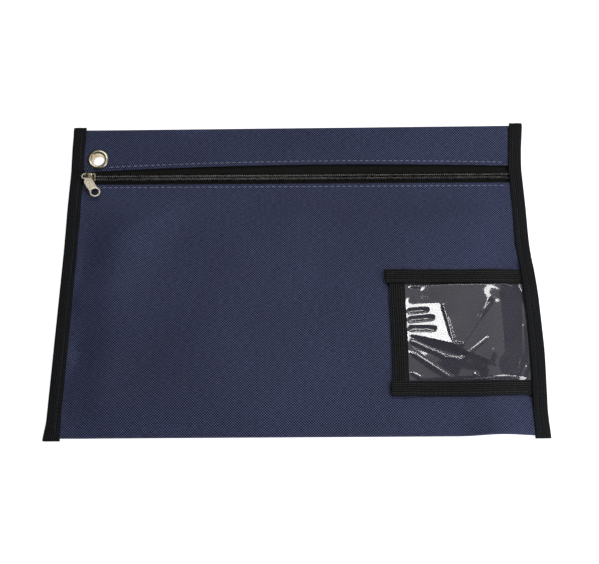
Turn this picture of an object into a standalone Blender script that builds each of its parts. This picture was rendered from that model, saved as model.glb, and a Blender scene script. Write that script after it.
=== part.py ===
"""Cash deposit bag: a flat zipped pouch of coated cloth, lying on its back.

Metres, +Z up. X runs along the zip, Y from the bottom fold to the top fold, and the origin is the
centre of the footprint on the floor. The bag's body is one strip of cloth, wrapped round two folds.
It is split here into a front, a back and a header, which follow one set of height functions, so
that everything lying on the cloth keeps the same gap to it.
"""

import math

import bmesh
import bpy
from mathutils import Matrix, Vector

# Overall size
BAG_WIDTH = 0.350
BAG_HEIGHT = 0.250

# Cloths, and the gap left between layers that touch on the real bag
CLOTH = 0.0005
TAPE = 0.0005
FILM = 0.0003
ZIP_TAPE = 0.0004
GAP = 0.0003

# Side bindings: tape folded over each side edge, a little longer than the sides
BINDING_WIDTH = 0.0105
BINDING_OVERHANG = 0.0015

# How the empty bag lies
FOLD_THICKNESS = 0.0030
FOLD_RETURN = 0.008
PUFF_TOP = 0.0082
PUFF_SIDE_RAMP = 0.035
PUFF_FOLD_RAMP = 0.024
PUFF_ZIP_RAMP = 0.026
FLAT_MARGIN = 0.002
SEAM_RAMP = 0.022
LIFT_LEFT = 0.0070
LIFT_RIGHT = 0.0150
PULL_IN_LEFT = 0.0022
PULL_IN_RIGHT = 0.0050
HEADER_TILT = math.radians(10)
RIPPLE_LIFT = 0.005
RIPPLE_RUN = 0.024
RIPPLE_FROM_SIDE = 0.033
RIPPLE_HALF_WIDTH = 0.030

# Zip: place below the top fold, tape, coil chain
ZIP_BELOW_TOP = 0.0442
ZIP_TAPE_HALF = 0.014
ZIP_TAPE_Z = 0.0043
CHAIN_HALF = 0.0031
CHAIN_SLOT_HALF = 0.0008
COIL_HEIGHT = 0.0015
FRONT_EDGE_DOWN = 0.0054
HEADER_EDGE_UP = 0.0114
HEADER_EDGE_BOW = 0.0060
HEADER_BOW_X = 0.040

# Slider and puller
SLIDER_LENGTH = 0.0092
SLIDER_NOSE_HALF = 0.0036
SLIDER_CORNER = 0.0014
NOSE_CORNER = 0.0008
SLIDER_PLATE = 0.0009
SLIDER_WALL = 0.0007
POST_LENGTH = 0.0020
POST_HALF = 0.0005
POST_INSET = 0.0004
BRIDGE_SPAN = 0.0068
BRIDGE_HALF_WIDTH = 0.0009
BRIDGE_BAR = 0.0009
BRIDGE_RISE = 0.0034
BRIDGE_BEND = 0.0030
RUNNING = 0.0005
PULLER_THICKNESS = 0.0013
PULLER_LENGTH = 0.0161
PULLER_HALF_WIDTH = 0.0033
PULLER_RECESS = 0.0003
PULLER_BORDER = 0.0011
PULLER_CORNER = 0.0010
NECK_LENGTH = 0.0012
EYE_OUTER = 0.0025
EYE_HOLE = 0.0016
LOOP_OUTER = 0.0040
LOOP_HOLE = 0.0030
PULLER_ANGLE = math.radians(-57)
PULLER_DROOP = math.radians(4)

# Eyelet through the header
EYELET_FROM_SIDE = 0.021
EYELET_FROM_TOP = 0.0280
EYELET_RADIUS = 0.0080
EYELET_HOLE = 0.00425
EYELET_METAL = 0.0004
EYELET_MARGIN = 0.0006
EYELET_DOME = 0.0008
WASHER_RADIUS = 0.0072
EYELET_BACK_LIFT = 0.0040
EYELET_BLEND = 0.017

# Label window: clear film under three tapes, its right side in the side binding
WINDOW_WIDTH = 0.1077
WINDOW_HEIGHT = 0.0974
WINDOW_ABOVE_BOTTOM = 0.0267
WINDOW_TAPE = 0.0110
TOP_TAPE_PAST = 0.003
BOTTOM_TAPE_PAST = 0.002
FILM_UNDER_TAPE = 0.007
FILM_RISE = 0.005
FILM_RAMP = 0.020
STACK_MARGIN = 0.001
STACK_RAMP = 0.008

# Sewing thread
THREAD_HALF = 0.00025
THREAD = 0.00025
BINDING_STITCH_IN = 0.0033
HEM_STITCH_IN = 0.0028
TAPE_STITCH_END = 0.0015
TAPE_STITCH_IN = 0.0022

# Widest spacing of the cloths' grid lines
GRID = 0.048

# Places that follow from the sizes above
HALF_W = BAG_WIDTH / 2
HALF_H = BAG_HEIGHT / 2
CLOTH_EDGE = HALF_W - TAPE - 2 * GAP
BINDING_IN = HALF_W - BINDING_WIDTH
BACK_SEAM_Z = TAPE + GAP
FOLD_MIDDLE = FOLD_THICKNESS / 2
FRONT_SEAM_TOP = BACK_SEAM_Z + CLOTH + GAP + CLOTH
HEM_Z = ZIP_TAPE_Z + ZIP_TAPE + GAP
HEM_TOP = HEM_Z + CLOTH
ZIP_Y = HALF_H - ZIP_BELOW_TOP
FRONT_EDGE = ZIP_Y - FRONT_EDGE_DOWN
FLAT_FROM = ZIP_Y - ZIP_TAPE_HALF - FLAT_MARGIN
CHAIN_END = BINDING_IN - GAP
COIL_Z = ZIP_TAPE_Z + ZIP_TAPE + GAP
COIL_TOP = COIL_Z + COIL_HEIGHT
PLATE_Z = COIL_TOP + GAP
PLATE_TOP = PLATE_Z + SLIDER_PLATE
SLIDER_HALF = CHAIN_HALF + GAP + SLIDER_WALL
SLIDER_X = -BINDING_IN + RUNNING + SLIDER_LENGTH / 2
BRIDGE_LEG_X = SLIDER_X - BRIDGE_SPAN / 2
PULLER_Z = PLATE_TOP + GAP + 1.5 * SLIDER_HALF * math.sin(PULLER_DROOP)
BRIDGE_UNDER = PLATE_TOP + BRIDGE_RISE
EYELET_X = -HALF_W + EYELET_FROM_SIDE
EYELET_Y = HALF_H - EYELET_FROM_TOP
BARREL = EYELET_HOLE + EYELET_METAL
EYELET_FLAT = EYELET_RADIUS + EYELET_MARGIN
HEM_LOW = ZIP_Y + HEADER_EDGE_UP - HEADER_EDGE_BOW
EYELET_HIGH = EYELET_Y + EYELET_FLAT
HEADER_SLOPE = math.tan(HEADER_TILT)
EYELET_SEAT_Z = HEM_TOP + HEADER_SLOPE * (EYELET_Y - HEM_LOW)
WINDOW_X = HALF_W - WINDOW_WIDTH
WINDOW_IN_X = WINDOW_X + WINDOW_TAPE
WINDOW_Y = -HALF_H + WINDOW_ABOVE_BOTTOM
WINDOW_TOP = WINDOW_Y + WINDOW_HEIGHT
FILM_Y = WINDOW_Y + WINDOW_TAPE
FILM_TOP = WINDOW_TOP - WINDOW_TAPE
LEFT_TAPE_LAYER = GAP + FILM + GAP
CROSS_TAPE_LAYER = LEFT_TAPE_LAYER + TAPE + GAP
WINDOW_STACK = LEFT_TAPE_LAYER + TAPE
RIPPLE_X = HALF_W - RIPPLE_FROM_SIDE


# ---------------------------------------------------------------- height functions


def ease(t):
    """0 below 0, 1 above 1, with a smooth rise between."""
    t = min(max(t, 0.0), 1.0)
    return t * t * (3 - 2 * t)


def mix(a, b, t):
    return a + (b - a) * t


def near(value, centre, flat, ramp):
    """1 within flat of centre, falling smoothly to 0 over the ramp beyond."""
    return ease((flat + ramp - abs(value - centre)) / ramp)


def across(left, right, x):
    """A value that changes evenly from the bag's left edge to its right edge."""
    return mix(left, right, (x + HALF_W) / BAG_WIDTH)


def pulled_in(point):
    """The header curls up, more at its right end, which draws the top fold towards the zip."""
    x, y, z = point
    rise = max(y - ZIP_Y, 0.0) / ZIP_BELOW_TOP
    return (x, y - across(PULL_IN_LEFT, PULL_IN_RIGHT, x) * rise**2, z)


def bottom_ripple(x, y):
    """The bottom fold lifts in one low wave near its right end."""
    wave = near(x, RIPPLE_X, 0.0, RIPPLE_HALF_WIDTH)
    return RIPPLE_LIFT * wave * ease((RIPPLE_RUN - HALF_H - y) / RIPPLE_RUN)


def back_under(x, y):
    """Underside of the back: flat on the floor, and raised at the seams, the eyelet and the top."""
    seam = BACK_SEAM_Z * ease((abs(x) - BINDING_IN + SEAM_RAMP) / SEAM_RAMP)
    rise = max(y - ZIP_Y, 0.0) / ZIP_BELOW_TOP
    free = seam + across(LIFT_LEFT, LIFT_RIGHT, x) * rise**2 + bottom_ripple(x, y)
    eyelet = near(x, EYELET_X, EYELET_FLAT, EYELET_BLEND) * near(y, EYELET_Y, EYELET_FLAT, EYELET_BLEND)
    return max(free, mix(free, EYELET_BACK_LIFT + HEADER_SLOPE * (y - EYELET_Y), eyelet))


def seam_top(y):
    """Top of the front cloth at the side seams: low at the bottom fold, higher over the zip tape."""
    return mix(FRONT_SEAM_TOP, HEM_TOP, ease((y - FLAT_FROM + 2 * PUFF_ZIP_RAMP) / (2 * PUFF_ZIP_RAMP)))


def front_top(x, y):
    """Upper surface of the front: a low puff that falls to the seams, the fold and the zip."""
    side = ease((BINDING_IN - abs(x)) / PUFF_SIDE_RAMP)
    low = ease((y + HALF_H) / PUFF_FOLD_RAMP)
    high = ease((FLAT_FROM - y) / PUFF_ZIP_RAMP)
    fold = mix(FRONT_SEAM_TOP, FOLD_THICKNESS, side)
    edge = mix(fold, seam_top(y), ease((y + HALF_H) / BAG_HEIGHT))
    edge = mix(edge, seam_top(y), 1 - side)
    if y >= FLAT_FROM:
        return HEM_TOP
    return mix(mix(edge, HEM_TOP, 1 - high), PUFF_TOP, side * low * high) + bottom_ripple(x, y)


def header_top(x, y):
    """Upper surface of the header: tilted evenly past the eyelet, then curling to the top fold."""
    flat = HEM_TOP + HEADER_SLOPE * max(min(y, EYELET_HIGH) - HEM_LOW, 0.0)
    curl = max(y - EYELET_HIGH, 0.0) / (HALF_H - EYELET_HIGH)
    return mix(flat, across(LIFT_LEFT, LIFT_RIGHT, x) + FOLD_THICKNESS, curl)


def stack_top(x, y):
    """Top of everything that a side binding closes over."""
    if y > ZIP_Y:
        return header_top(x, y)
    window = near(y, (WINDOW_Y + WINDOW_TOP) / 2, WINDOW_HEIGHT / 2 + STACK_MARGIN, STACK_RAMP)
    return front_top(x, y) + (WINDOW_STACK * window if x > 0 else 0.0)


def header_edge(x):
    """The header's hem bows away from the zip, most a little right of the middle."""
    return ZIP_Y + HEADER_EDGE_UP - HEADER_EDGE_BOW * ((x - HEADER_BOW_X) / (HALF_W + HEADER_BOW_X)) ** 2


def film_arch(x, y):
    """How far the film stands off the cloth between its tapes."""
    sides = ease((x - WINDOW_IN_X) / FILM_RAMP) * ease((BINDING_IN - x) / FILM_RAMP)
    ends = ease((y - FILM_Y) / FILM_RAMP) * ease((FILM_TOP - y) / FILM_RAMP)
    return FILM_RISE * sides * ends


def tape_layer(x):
    """The top and bottom tapes climb over the left one, and lie on the film beyond it."""
    return mix(CROSS_TAPE_LAYER, LEFT_TAPE_LAYER, ease((x - WINDOW_IN_X - STACK_MARGIN) / WINDOW_TAPE))


# ---------------------------------------------------------------- shared grid lines


def filled(stops):
    """The stops in order, with more lines between any two that are over GRID apart."""
    stops = sorted({round(s, 7) for s in stops})
    lines = [stops[0]]
    for low, high in zip(stops, stops[1:]):
        steps = math.ceil((high - low) / GRID - 1e-6)
        lines += [mix(low, high, k / steps) for k in range(1, steps + 1)]
    return lines


def ramp(low, high, count=4):
    """Lines along a stretch where a height changes."""
    return [mix(low, high, k / count) for k in range(count + 1)]


SIDES = [-CLOTH_EDGE, -BINDING_IN, BINDING_IN, CLOTH_EDGE]
EYELET_X_LINES = [EYELET_X - EYELET_FLAT, *ramp(EYELET_X + EYELET_FLAT, EYELET_X + EYELET_FLAT + EYELET_BLEND, 2)]
RIPPLE_X_LINES = ramp(RIPPLE_X - RIPPLE_HALF_WIDTH, BINDING_IN, 3)
FRONT_X = filled(
    SIDES
    + RIPPLE_X_LINES
    + ramp(-BINDING_IN, -BINDING_IN + PUFF_SIDE_RAMP)
    + ramp(BINDING_IN - PUFF_SIDE_RAMP, BINDING_IN)
    + [WINDOW_X - TOP_TAPE_PAST, WINDOW_X, WINDOW_X + WINDOW_TAPE - FILM_UNDER_TAPE]
    + ramp(WINDOW_IN_X + STACK_MARGIN, WINDOW_IN_X + STACK_MARGIN + WINDOW_TAPE, 2)
    + [WINDOW_IN_X, WINDOW_IN_X + FILM_RAMP]
)
BACK_X = filled(
    SIDES
    + RIPPLE_X_LINES
    + EYELET_X_LINES
    + ramp(-BINDING_IN, -BINDING_IN + SEAM_RAMP, 2)
    + ramp(BINDING_IN - SEAM_RAMP, BINDING_IN, 2)
)
HEADER_X = filled(SIDES + EYELET_X_LINES)
RIPPLE_Y_LINES = ramp(-HALF_H + FOLD_THICKNESS, -HALF_H + PUFF_FOLD_RAMP, 3)
CURL_Y_LINES = [EYELET_Y, *ramp(EYELET_HIGH, HALF_H - FOLD_THICKNESS, 3)]
FRONT_Y = filled(
    RIPPLE_Y_LINES
    + [WINDOW_Y - STACK_MARGIN - STACK_RAMP, WINDOW_Y - STACK_MARGIN, WINDOW_Y]
    + [WINDOW_Y + WINDOW_TAPE - FILM_UNDER_TAPE]
    + [FILM_Y, FILM_Y + FILM_RAMP, FILM_TOP - FILM_RAMP, FILM_TOP]
    + [FILM_TOP + FILM_UNDER_TAPE, WINDOW_TOP, WINDOW_TOP + STACK_MARGIN]
    + [WINDOW_TOP + STACK_MARGIN + STACK_RAMP]
    + ramp(FLAT_FROM - 2 * PUFF_ZIP_RAMP, FLAT_FROM - PUFF_ZIP_RAMP, 2)
    + ramp(FLAT_FROM - PUFF_ZIP_RAMP, FLAT_FROM)
    + [FRONT_EDGE]
)
BACK_Y = filled(
    RIPPLE_Y_LINES
    + [FRONT_EDGE, ZIP_Y, HEM_LOW, EYELET_Y - EYELET_FLAT]
    + CURL_Y_LINES
    + [HALF_H - FOLD_RETURN - GAP]
)
BINDING_Y = sorted({*FRONT_Y, *BACK_Y, -HALF_H + FOLD_MIDDLE, HALF_H - FOLD_MIDDLE})


def within(lines, low, high):
    """The grid lines from low to high, with the two ends as lines of their own."""
    inner = [v for v in lines if low + 1e-5 < v < high - 1e-5]
    return [low, *inner, high]


# ---------------------------------------------------------------- building


def material(name, colour, roughness, metallic=0.0, alpha=1.0):
    made = bpy.data.materials.new(name)
    made.use_nodes = True
    shader = made.node_tree.nodes["Principled BSDF"]
    shader.inputs["Base Color"].default_value = (*colour, 1.0)
    shader.inputs["Roughness"].default_value = roughness
    shader.inputs["Metallic"].default_value = metallic
    shader.inputs["Alpha"].default_value = alpha
    return made


def from_bmesh(name, bm, finish, smooth=False, origin=None):
    """A bmesh in world coordinates as an object, its origin on its joint's axis if it has one."""
    bmesh.ops.recalc_face_normals(bm, faces=bm.faces)
    if origin is not None:
        bmesh.ops.translate(bm, vec=-Vector(origin), verts=bm.verts)
    mesh = bpy.data.meshes.new(name)
    bm.to_mesh(mesh)
    bm.free()
    if smooth:
        mesh.shade_smooth()
        mesh.set_sharp_from_angle(angle=math.radians(35))
    mesh.materials.append(finish)
    made = bpy.data.objects.new(name, mesh)
    bpy.context.collection.objects.link(made)
    if origin is not None:
        made.location = origin
    return made


def skin(name, outer, inner, finish):
    """A thin closed solid between two grids of points, outer[i][j] and inner[i][j]."""
    bm = bmesh.new()
    sides = [[[bm.verts.new(pulled_in(p)) for p in row] for row in grid] for grid in (outer, inner)]
    rows, columns = len(outer), len(outer[0])

    def quad(a, b, c, d):
        """Two triangles, cut the same way in plan on every sheet, so that stacked sheets stay parallel."""
        if (c.co.x - a.co.x) * (c.co.y - a.co.y) < 0:
            a, b, c, d = b, c, d, a
        bm.faces.new((a, b, c))
        bm.faces.new((a, c, d))

    for i in range(rows - 1):
        for j in range(columns - 1):
            for grid in sides:
                quad(grid[i][j], grid[i + 1][j], grid[i + 1][j + 1], grid[i][j + 1])
    top, low = sides
    for j in range(columns - 1):
        for i in (0, rows - 1):
            quad(top[i][j], top[i][j + 1], low[i][j + 1], low[i][j])
    for i in range(rows - 1):
        for j in (0, columns - 1):
            quad(top[i][j], top[i + 1][j], low[i + 1][j], low[i][j])
    return from_bmesh(name, bm, finish)


def laid_sheet(name, xs, ys, under, thickness, finish):
    """A sheet lying on a height function: under(x, y) is its underside."""
    low = [[(x, y, under(x, y)) for y in ys] for x in xs]
    top = [[(x, y, z + thickness) for x, y, z in row] for row in low]
    return skin(name, top, low, finish)


def eyelet_frame():
    """The eyelet's own frame: its centre on top of the header, its axis square to the header."""
    seat = Vector(pulled_in((EYELET_X, EYELET_Y, EYELET_SEAT_Z)))
    return Matrix.Translation(seat) @ Matrix.Rotation(HEADER_TILT, 4, "X")


def cut_for_barrel(target, name):
    """Cuts the eyelet's hole through a sheet, with a cutter that stays in the scene as a guide."""
    radius = BARREL + GAP
    bm = bmesh.new()
    bmesh.ops.create_cone(bm, cap_ends=True, segments=32, radius1=radius, radius2=radius, depth=0.05)
    cutter = from_bmesh(name, bm, target.data.materials[0])
    cutter.matrix_world = eyelet_frame()
    cutter.hide_render = True
    cutter.display_type = "WIRE"
    hole = target.modifiers.new("hole", "BOOLEAN")
    hole.operation = "DIFFERENCE"
    hole.solver = "EXACT"
    hole.object = cutter


def prism(bm, outline, low, high):
    """Adds a closed upright prism to a bmesh: outline is a list of (x, y)."""
    rings = [[bm.verts.new((x, y, z)) for x, y in outline] for z in (low, high)]
    bm.faces.new(rings[0])
    bm.faces.new(rings[1])
    for k in range(len(outline)):
        n = (k + 1) % len(outline)
        bm.faces.new((rings[0][k], rings[0][n], rings[1][n], rings[1][k]))


def arc(cx, cy, radius, start, end, count):
    """Points on an arc, angles in degrees."""
    angles = [math.radians(mix(start, end, k / count)) for k in range(count + 1)]
    return [(cx + radius * math.cos(a), cy + radius * math.sin(a)) for a in angles]


def joined(name, first, others):
    """Boolean union of separate solids into the first, and the others are removed."""
    for other in others:
        union = first.modifiers.new("join", "BOOLEAN")
        union.operation = "UNION"
        union.solver = "EXACT"
        union.object = other
    depsgraph = bpy.context.evaluated_depsgraph_get()
    whole = bpy.data.meshes.new_from_object(first.evaluated_get(depsgraph))
    first.modifiers.clear()
    first.data = whole
    first.name = name
    for other in others:
        bpy.data.objects.remove(other)
    return first


# ---------------------------------------------------------------- the cloth body


def folded_cloth(name, xs, edge, lines, outward, top, finish):
    """One face of the bag with its fold and a short return under it."""
    outer, inner = [], []
    y_turn = outward * (HALF_H - FOLD_MIDDLE)
    y_return = outward * (HALF_H - FOLD_RETURN)
    for x in xs:
        high, low = top(x, y_turn), back_under(x, y_turn)
        start = edge(x)
        face = [(x, y, top(x, y)) for y in [start, *lines]]
        foot = (x, y_return, back_under(x, y_return))
        for grid, inset in ((outer, 0.0), (inner, CLOTH)):
            turn = []
            for c, s in arc(0.0, 0.0, 1.0, 90, -90, 6):
                out = outward * (FOLD_MIDDLE - inset) * c
                turn.append((x, y_turn + out, (high + low) / 2 + ((high - low) / 2 - inset) * s))
            flat = [(x, y, z - inset) for x, y, z in face]
            grid.append(flat + turn + [(x, y_return, foot[2] + inset)])
    return skin(name, outer, inner, finish)


def build_body(cloth):
    low_lines = [y for y in reversed(FRONT_Y) if y < FRONT_EDGE - 1e-5]
    folded_cloth("front_panel", FRONT_X, lambda x: FRONT_EDGE, low_lines, -1, front_top, cloth)
    header = folded_cloth("header_panel", HEADER_X, header_edge, CURL_Y_LINES, 1, header_top, cloth)
    back_lines = within(BACK_Y, -HALF_H + FOLD_RETURN + GAP, HALF_H - FOLD_RETURN - GAP)
    back = laid_sheet("back_panel", BACK_X, back_lines, back_under, CLOTH, cloth)
    cut_for_barrel(header, "header_hole_guide")
    cut_for_barrel(back, "back_hole_guide")


def build_binding(name, side, tape):
    """A tape folded over one side edge, following the layers that it closes over."""
    outer, inner = [], []
    ends = [-HALF_H - BINDING_OVERHANG, HALF_H + BINDING_OVERHANG]
    for y in within(BINDING_Y, *ends):
        held = min(max(y, -HALF_H + FOLD_MIDDLE), HALF_H - FOLD_MIDDLE)
        x_in, x_edge = side * BINDING_IN, side * CLOTH_EDGE
        low = [back_under(x, held) - GAP - TAPE for x in (x_in, x_edge)]
        high = [stack_top(x, held) + GAP + TAPE for x in (x_edge, x_in)]
        middle, half = (low[1] + high[0]) / 2, (high[0] - low[1]) / 2
        bend = arc(0.0, 0.0, 1.0, -60, 60, 2)
        for grid, inset in ((outer, 0.0), (inner, TAPE)):
            turn = [
                (x_edge + side * (HALF_W - CLOTH_EDGE - inset) * c, y, middle + (half - inset) * s)
                for c, s in bend
            ]
            legs_low = [(x_in, y, low[0] + inset), (x_edge, y, low[1] + inset)]
            legs_high = [(x_edge, y, high[0] - inset), (x_in, y, high[1] - inset)]
            grid.append(legs_low + turn + legs_high)
    return skin(name, outer, inner, tape)


# ---------------------------------------------------------------- zip, slider, puller


def build_zip(tape_finish, coil_finish):
    for name, side in (("zip_tape_upper", 1), ("zip_tape_lower", -1)):
        edges = sorted((ZIP_Y + side * CHAIN_SLOT_HALF, ZIP_Y + side * ZIP_TAPE_HALF))
        tape = laid_sheet(
            name, [-CLOTH_EDGE, CLOTH_EDGE], edges, lambda x, y: ZIP_TAPE_Z, ZIP_TAPE, tape_finish
        )
        if side > 0:
            cut_for_barrel(tape, "tape_hole_guide")
    for name, side in (("zip_coil_upper", 1), ("zip_coil_lower", -1)):
        shoulder = COIL_HEIGHT / 3
        section = [(CHAIN_SLOT_HALF, 0), (CHAIN_HALF, 0), (CHAIN_HALF, COIL_HEIGHT - shoulder)]
        section += [(CHAIN_HALF - shoulder, COIL_HEIGHT), (CHAIN_SLOT_HALF + shoulder, COIL_HEIGHT)]
        section += [(CHAIN_SLOT_HALF, COIL_HEIGHT - shoulder)]
        bm = bmesh.new()
        rings = []
        for x in (-CHAIN_END, CHAIN_END):
            rings.append([bm.verts.new((x, ZIP_Y + side * y, COIL_Z + z)) for y, z in section])
        bm.faces.new(rings[0])
        bm.faces.new(rings[1])
        for k in range(len(section)):
            n = (k + 1) % len(section)
            bm.faces.new((rings[0][k], rings[0][n], rings[1][n], rings[1][k]))
        from_bmesh(name, bm, coil_finish)


def slider_outline(half):
    """Plan of the slider: wide shoulders where the two chains enter, narrower at the other end."""
    long = SLIDER_LENGTH / 2
    nose = min(half, SLIDER_NOSE_HALF)
    cut, bevel = SLIDER_CORNER, NOSE_CORNER
    right = [(long, -nose + bevel), (long, nose - bevel), (long - bevel, nose), (0.0, half)]
    left = [(-long + cut, half), (-long, half - cut), (-long, -half + cut), (-long + cut, -half)]
    return right + left + [(0.0, -half), (long - bevel, -nose)]


def build_slider(metal):
    """Two plates joined by a post at the wide end, side walls over the tape, and a bridge."""
    plates = []
    lower_top = ZIP_TAPE_Z - GAP
    for low, high in ((lower_top - SLIDER_PLATE, lower_top), (PLATE_Z, PLATE_TOP)):
        bm = bmesh.new()
        prism(bm, slider_outline(SLIDER_HALF), low, high)
        plates.append(from_bmesh("plate", bm, metal))
    solids = [plates[0]]
    for side in (1, -1):
        bm = bmesh.new()
        wall = [side * (SLIDER_HALF - SLIDER_WALL), side * SLIDER_HALF]
        run = (-SLIDER_LENGTH / 2 + SLIDER_CORNER, 0.0)
        outline = [(run[0], wall[0]), (run[1], wall[0]), (run[1], wall[1]), (run[0], wall[1])]
        prism(bm, outline, ZIP_TAPE_Z + ZIP_TAPE + GAP, PLATE_Z + SLIDER_PLATE / 2)
        solids.append(from_bmesh("wall", bm, metal))
    bm = bmesh.new()
    post = (-SLIDER_LENGTH / 2 + POST_INSET, -SLIDER_LENGTH / 2 + POST_INSET + POST_LENGTH)
    outline = [(post[0], -POST_HALF), (post[1], -POST_HALF / 2), (post[1], POST_HALF / 2), (post[0], POST_HALF)]
    prism(bm, outline, lower_top - SLIDER_PLATE / 2, PLATE_Z + SLIDER_PLATE / 2)
    solids.append(from_bmesh("post", bm, metal))
    solids.append(bridge(metal))
    whole = joined("slider_body", plates[1], solids)
    whole.data.transform(Matrix.Translation((0.0, 0.0, -PLATE_TOP)))
    whole.location = (SLIDER_X, ZIP_Y, PLATE_TOP)
    return whole


def bridge(metal):
    """The arch that holds the puller: a flat bar bent down into the top plate at both ends."""
    half = BRIDGE_SPAN / 2 + BRIDGE_BAR / 2
    corner = BRIDGE_BEND
    top = BRIDGE_UNDER + BRIDGE_BAR
    foot = PLATE_TOP - SLIDER_PLATE / 2
    outer = [(-half, foot), *arc(-half + corner, top - corner, corner, 180, 90, 4)]
    outer += [*arc(half - corner, top - corner, corner, 90, 0, 4), (half, foot)]
    inside = corner - BRIDGE_BAR
    half_in = half - BRIDGE_BAR
    inner = [(-half_in, foot), *arc(-half_in + inside, BRIDGE_UNDER - inside, inside, 180, 90, 4)]
    inner += [*arc(half_in - inside, BRIDGE_UNDER - inside, inside, 90, 0, 4), (half_in, foot)]
    grids = []
    for path in (outer, inner):
        grids.append([[(x, y, z) for x, z in path] for y in (-BRIDGE_HALF_WIDTH, BRIDGE_HALF_WIDTH)])
    return skin("bridge", *grids, metal)


def puller_outline():
    """Plan of the puller with its eye at the origin and its loop at +X."""
    body = (EYE_OUTER + NECK_LENGTH, PULLER_LENGTH - LOOP_OUTER)
    round_x, round_y = body[0] + PULLER_CORNER, PULLER_HALF_WIDTH - PULLER_CORNER
    neck = EYE_OUTER * math.sin(math.radians(40))
    outline = arc(0.0, 0.0, EYE_OUTER, 40, 320, 14)
    outline += [(EYE_OUTER, -neck)]
    outline += arc(round_x, -round_y, PULLER_CORNER, 180, 270, 3)
    outline += [(body[1], -PULLER_HALF_WIDTH)]
    outline += arc(PULLER_LENGTH, 0.0, LOOP_OUTER, -125, 125, 16)
    outline += [(body[1], PULLER_HALF_WIDTH)]
    outline += arc(round_x, round_y, PULLER_CORNER, 90, 180, 3)
    return outline + [(EYE_OUTER, neck)]


def build_puller(metal):
    """A flat cast tab: an eye round the bridge's leg, a recessed panel, and a loop at the far end."""
    bm = bmesh.new()
    prism(bm, puller_outline(), 0.0, PULLER_THICKNESS)
    tab = from_bmesh("puller", bm, metal)
    body = (EYE_OUTER + NECK_LENGTH + PULLER_BORDER, PULLER_LENGTH - LOOP_OUTER)
    half = PULLER_HALF_WIDTH - PULLER_BORDER
    under, over = -PULLER_THICKNESS, 2 * PULLER_THICKNESS
    recess = [(body[0], -half), (body[1], -half), (body[1], half), (body[0], half)]
    for outline, low, high in (
        (arc(0.0, 0.0, EYE_HOLE, 0, 345, 23), under, over),
        (arc(PULLER_LENGTH, 0.0, LOOP_HOLE, 0, 350, 35), under, over),
        (recess, PULLER_THICKNESS - PULLER_RECESS, over),
        (recess, under, PULLER_RECESS),
    ):
        bm = bmesh.new()
        prism(bm, outline, low, high)
        cutter = from_bmesh("puller_cut", bm, metal)
        cut = tab.modifiers.new("cut", "BOOLEAN")
        cut.operation = "DIFFERENCE"
        cut.solver = "EXACT"
        cut.object = cutter
    cutters = [m.object for m in tab.modifiers]
    depsgraph = bpy.context.evaluated_depsgraph_get()
    whole = bpy.data.meshes.new_from_object(tab.evaluated_get(depsgraph))
    tab.modifiers.clear()
    tab.data = whole
    for cutter in cutters:
        bpy.data.objects.remove(cutter)
    lean = Matrix.Rotation(PULLER_DROOP, 4, "Y")
    tab.data.transform(Matrix.Rotation(PULLER_ANGLE, 4, "Z") @ lean)
    return tab


# ---------------------------------------------------------------- eyelet


def turned(name, profile, finish, segments=40):
    """A ring turned round the eyelet's axis from a closed profile of (radius, height over the header)."""
    bm = bmesh.new()
    rings = []
    for k in range(segments):
        a = 2 * math.pi * k / segments
        rings.append([bm.verts.new((r * math.cos(a), r * math.sin(a), h)) for r, h in profile])
    for k in range(segments):
        ring, after = rings[k], rings[(k + 1) % segments]
        for j in range(len(profile)):
            n = (j + 1) % len(profile)
            bm.faces.new((ring[j], ring[n], after[n], after[j]))
    bmesh.ops.transform(bm, matrix=eyelet_frame(), verts=bm.verts)
    return from_bmesh(name, bm, finish, smooth=True)


def build_eyelet(metal):
    """A domed flange with its barrel through all layers, and a washer at the back."""
    seat = GAP
    washer_top = (EYELET_BACK_LIFT - EYELET_SEAT_Z) * math.cos(HEADER_TILT) - GAP
    washer_low = washer_top - EYELET_METAL
    roll = washer_low - GAP - EYELET_METAL
    crown = (EYELET_HOLE + EYELET_RADIUS) / 2
    flange = [
        (EYELET_HOLE, roll),
        (BARREL + 2 * EYELET_METAL, roll),
        (BARREL + 2 * EYELET_METAL, roll + EYELET_METAL),
        (BARREL, roll + EYELET_METAL),
        (BARREL, seat),
        (EYELET_RADIUS, seat),
        (EYELET_RADIUS, seat + EYELET_METAL / 2),
        (mix(crown, EYELET_RADIUS, 0.6), seat + EYELET_DOME * 0.85),
        (crown, seat + EYELET_DOME),
        (mix(crown, EYELET_HOLE, 0.6), seat + EYELET_DOME * 0.85),
        (EYELET_HOLE, seat + EYELET_METAL / 2),
    ]
    turned("eyelet", flange, metal)
    bore = BARREL + GAP
    washer = [(bore, washer_low), (WASHER_RADIUS, washer_low), (WASHER_RADIUS, washer_top), (bore, washer_top)]
    turned("eyelet_washer", washer, metal)


# ---------------------------------------------------------------- label window


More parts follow.
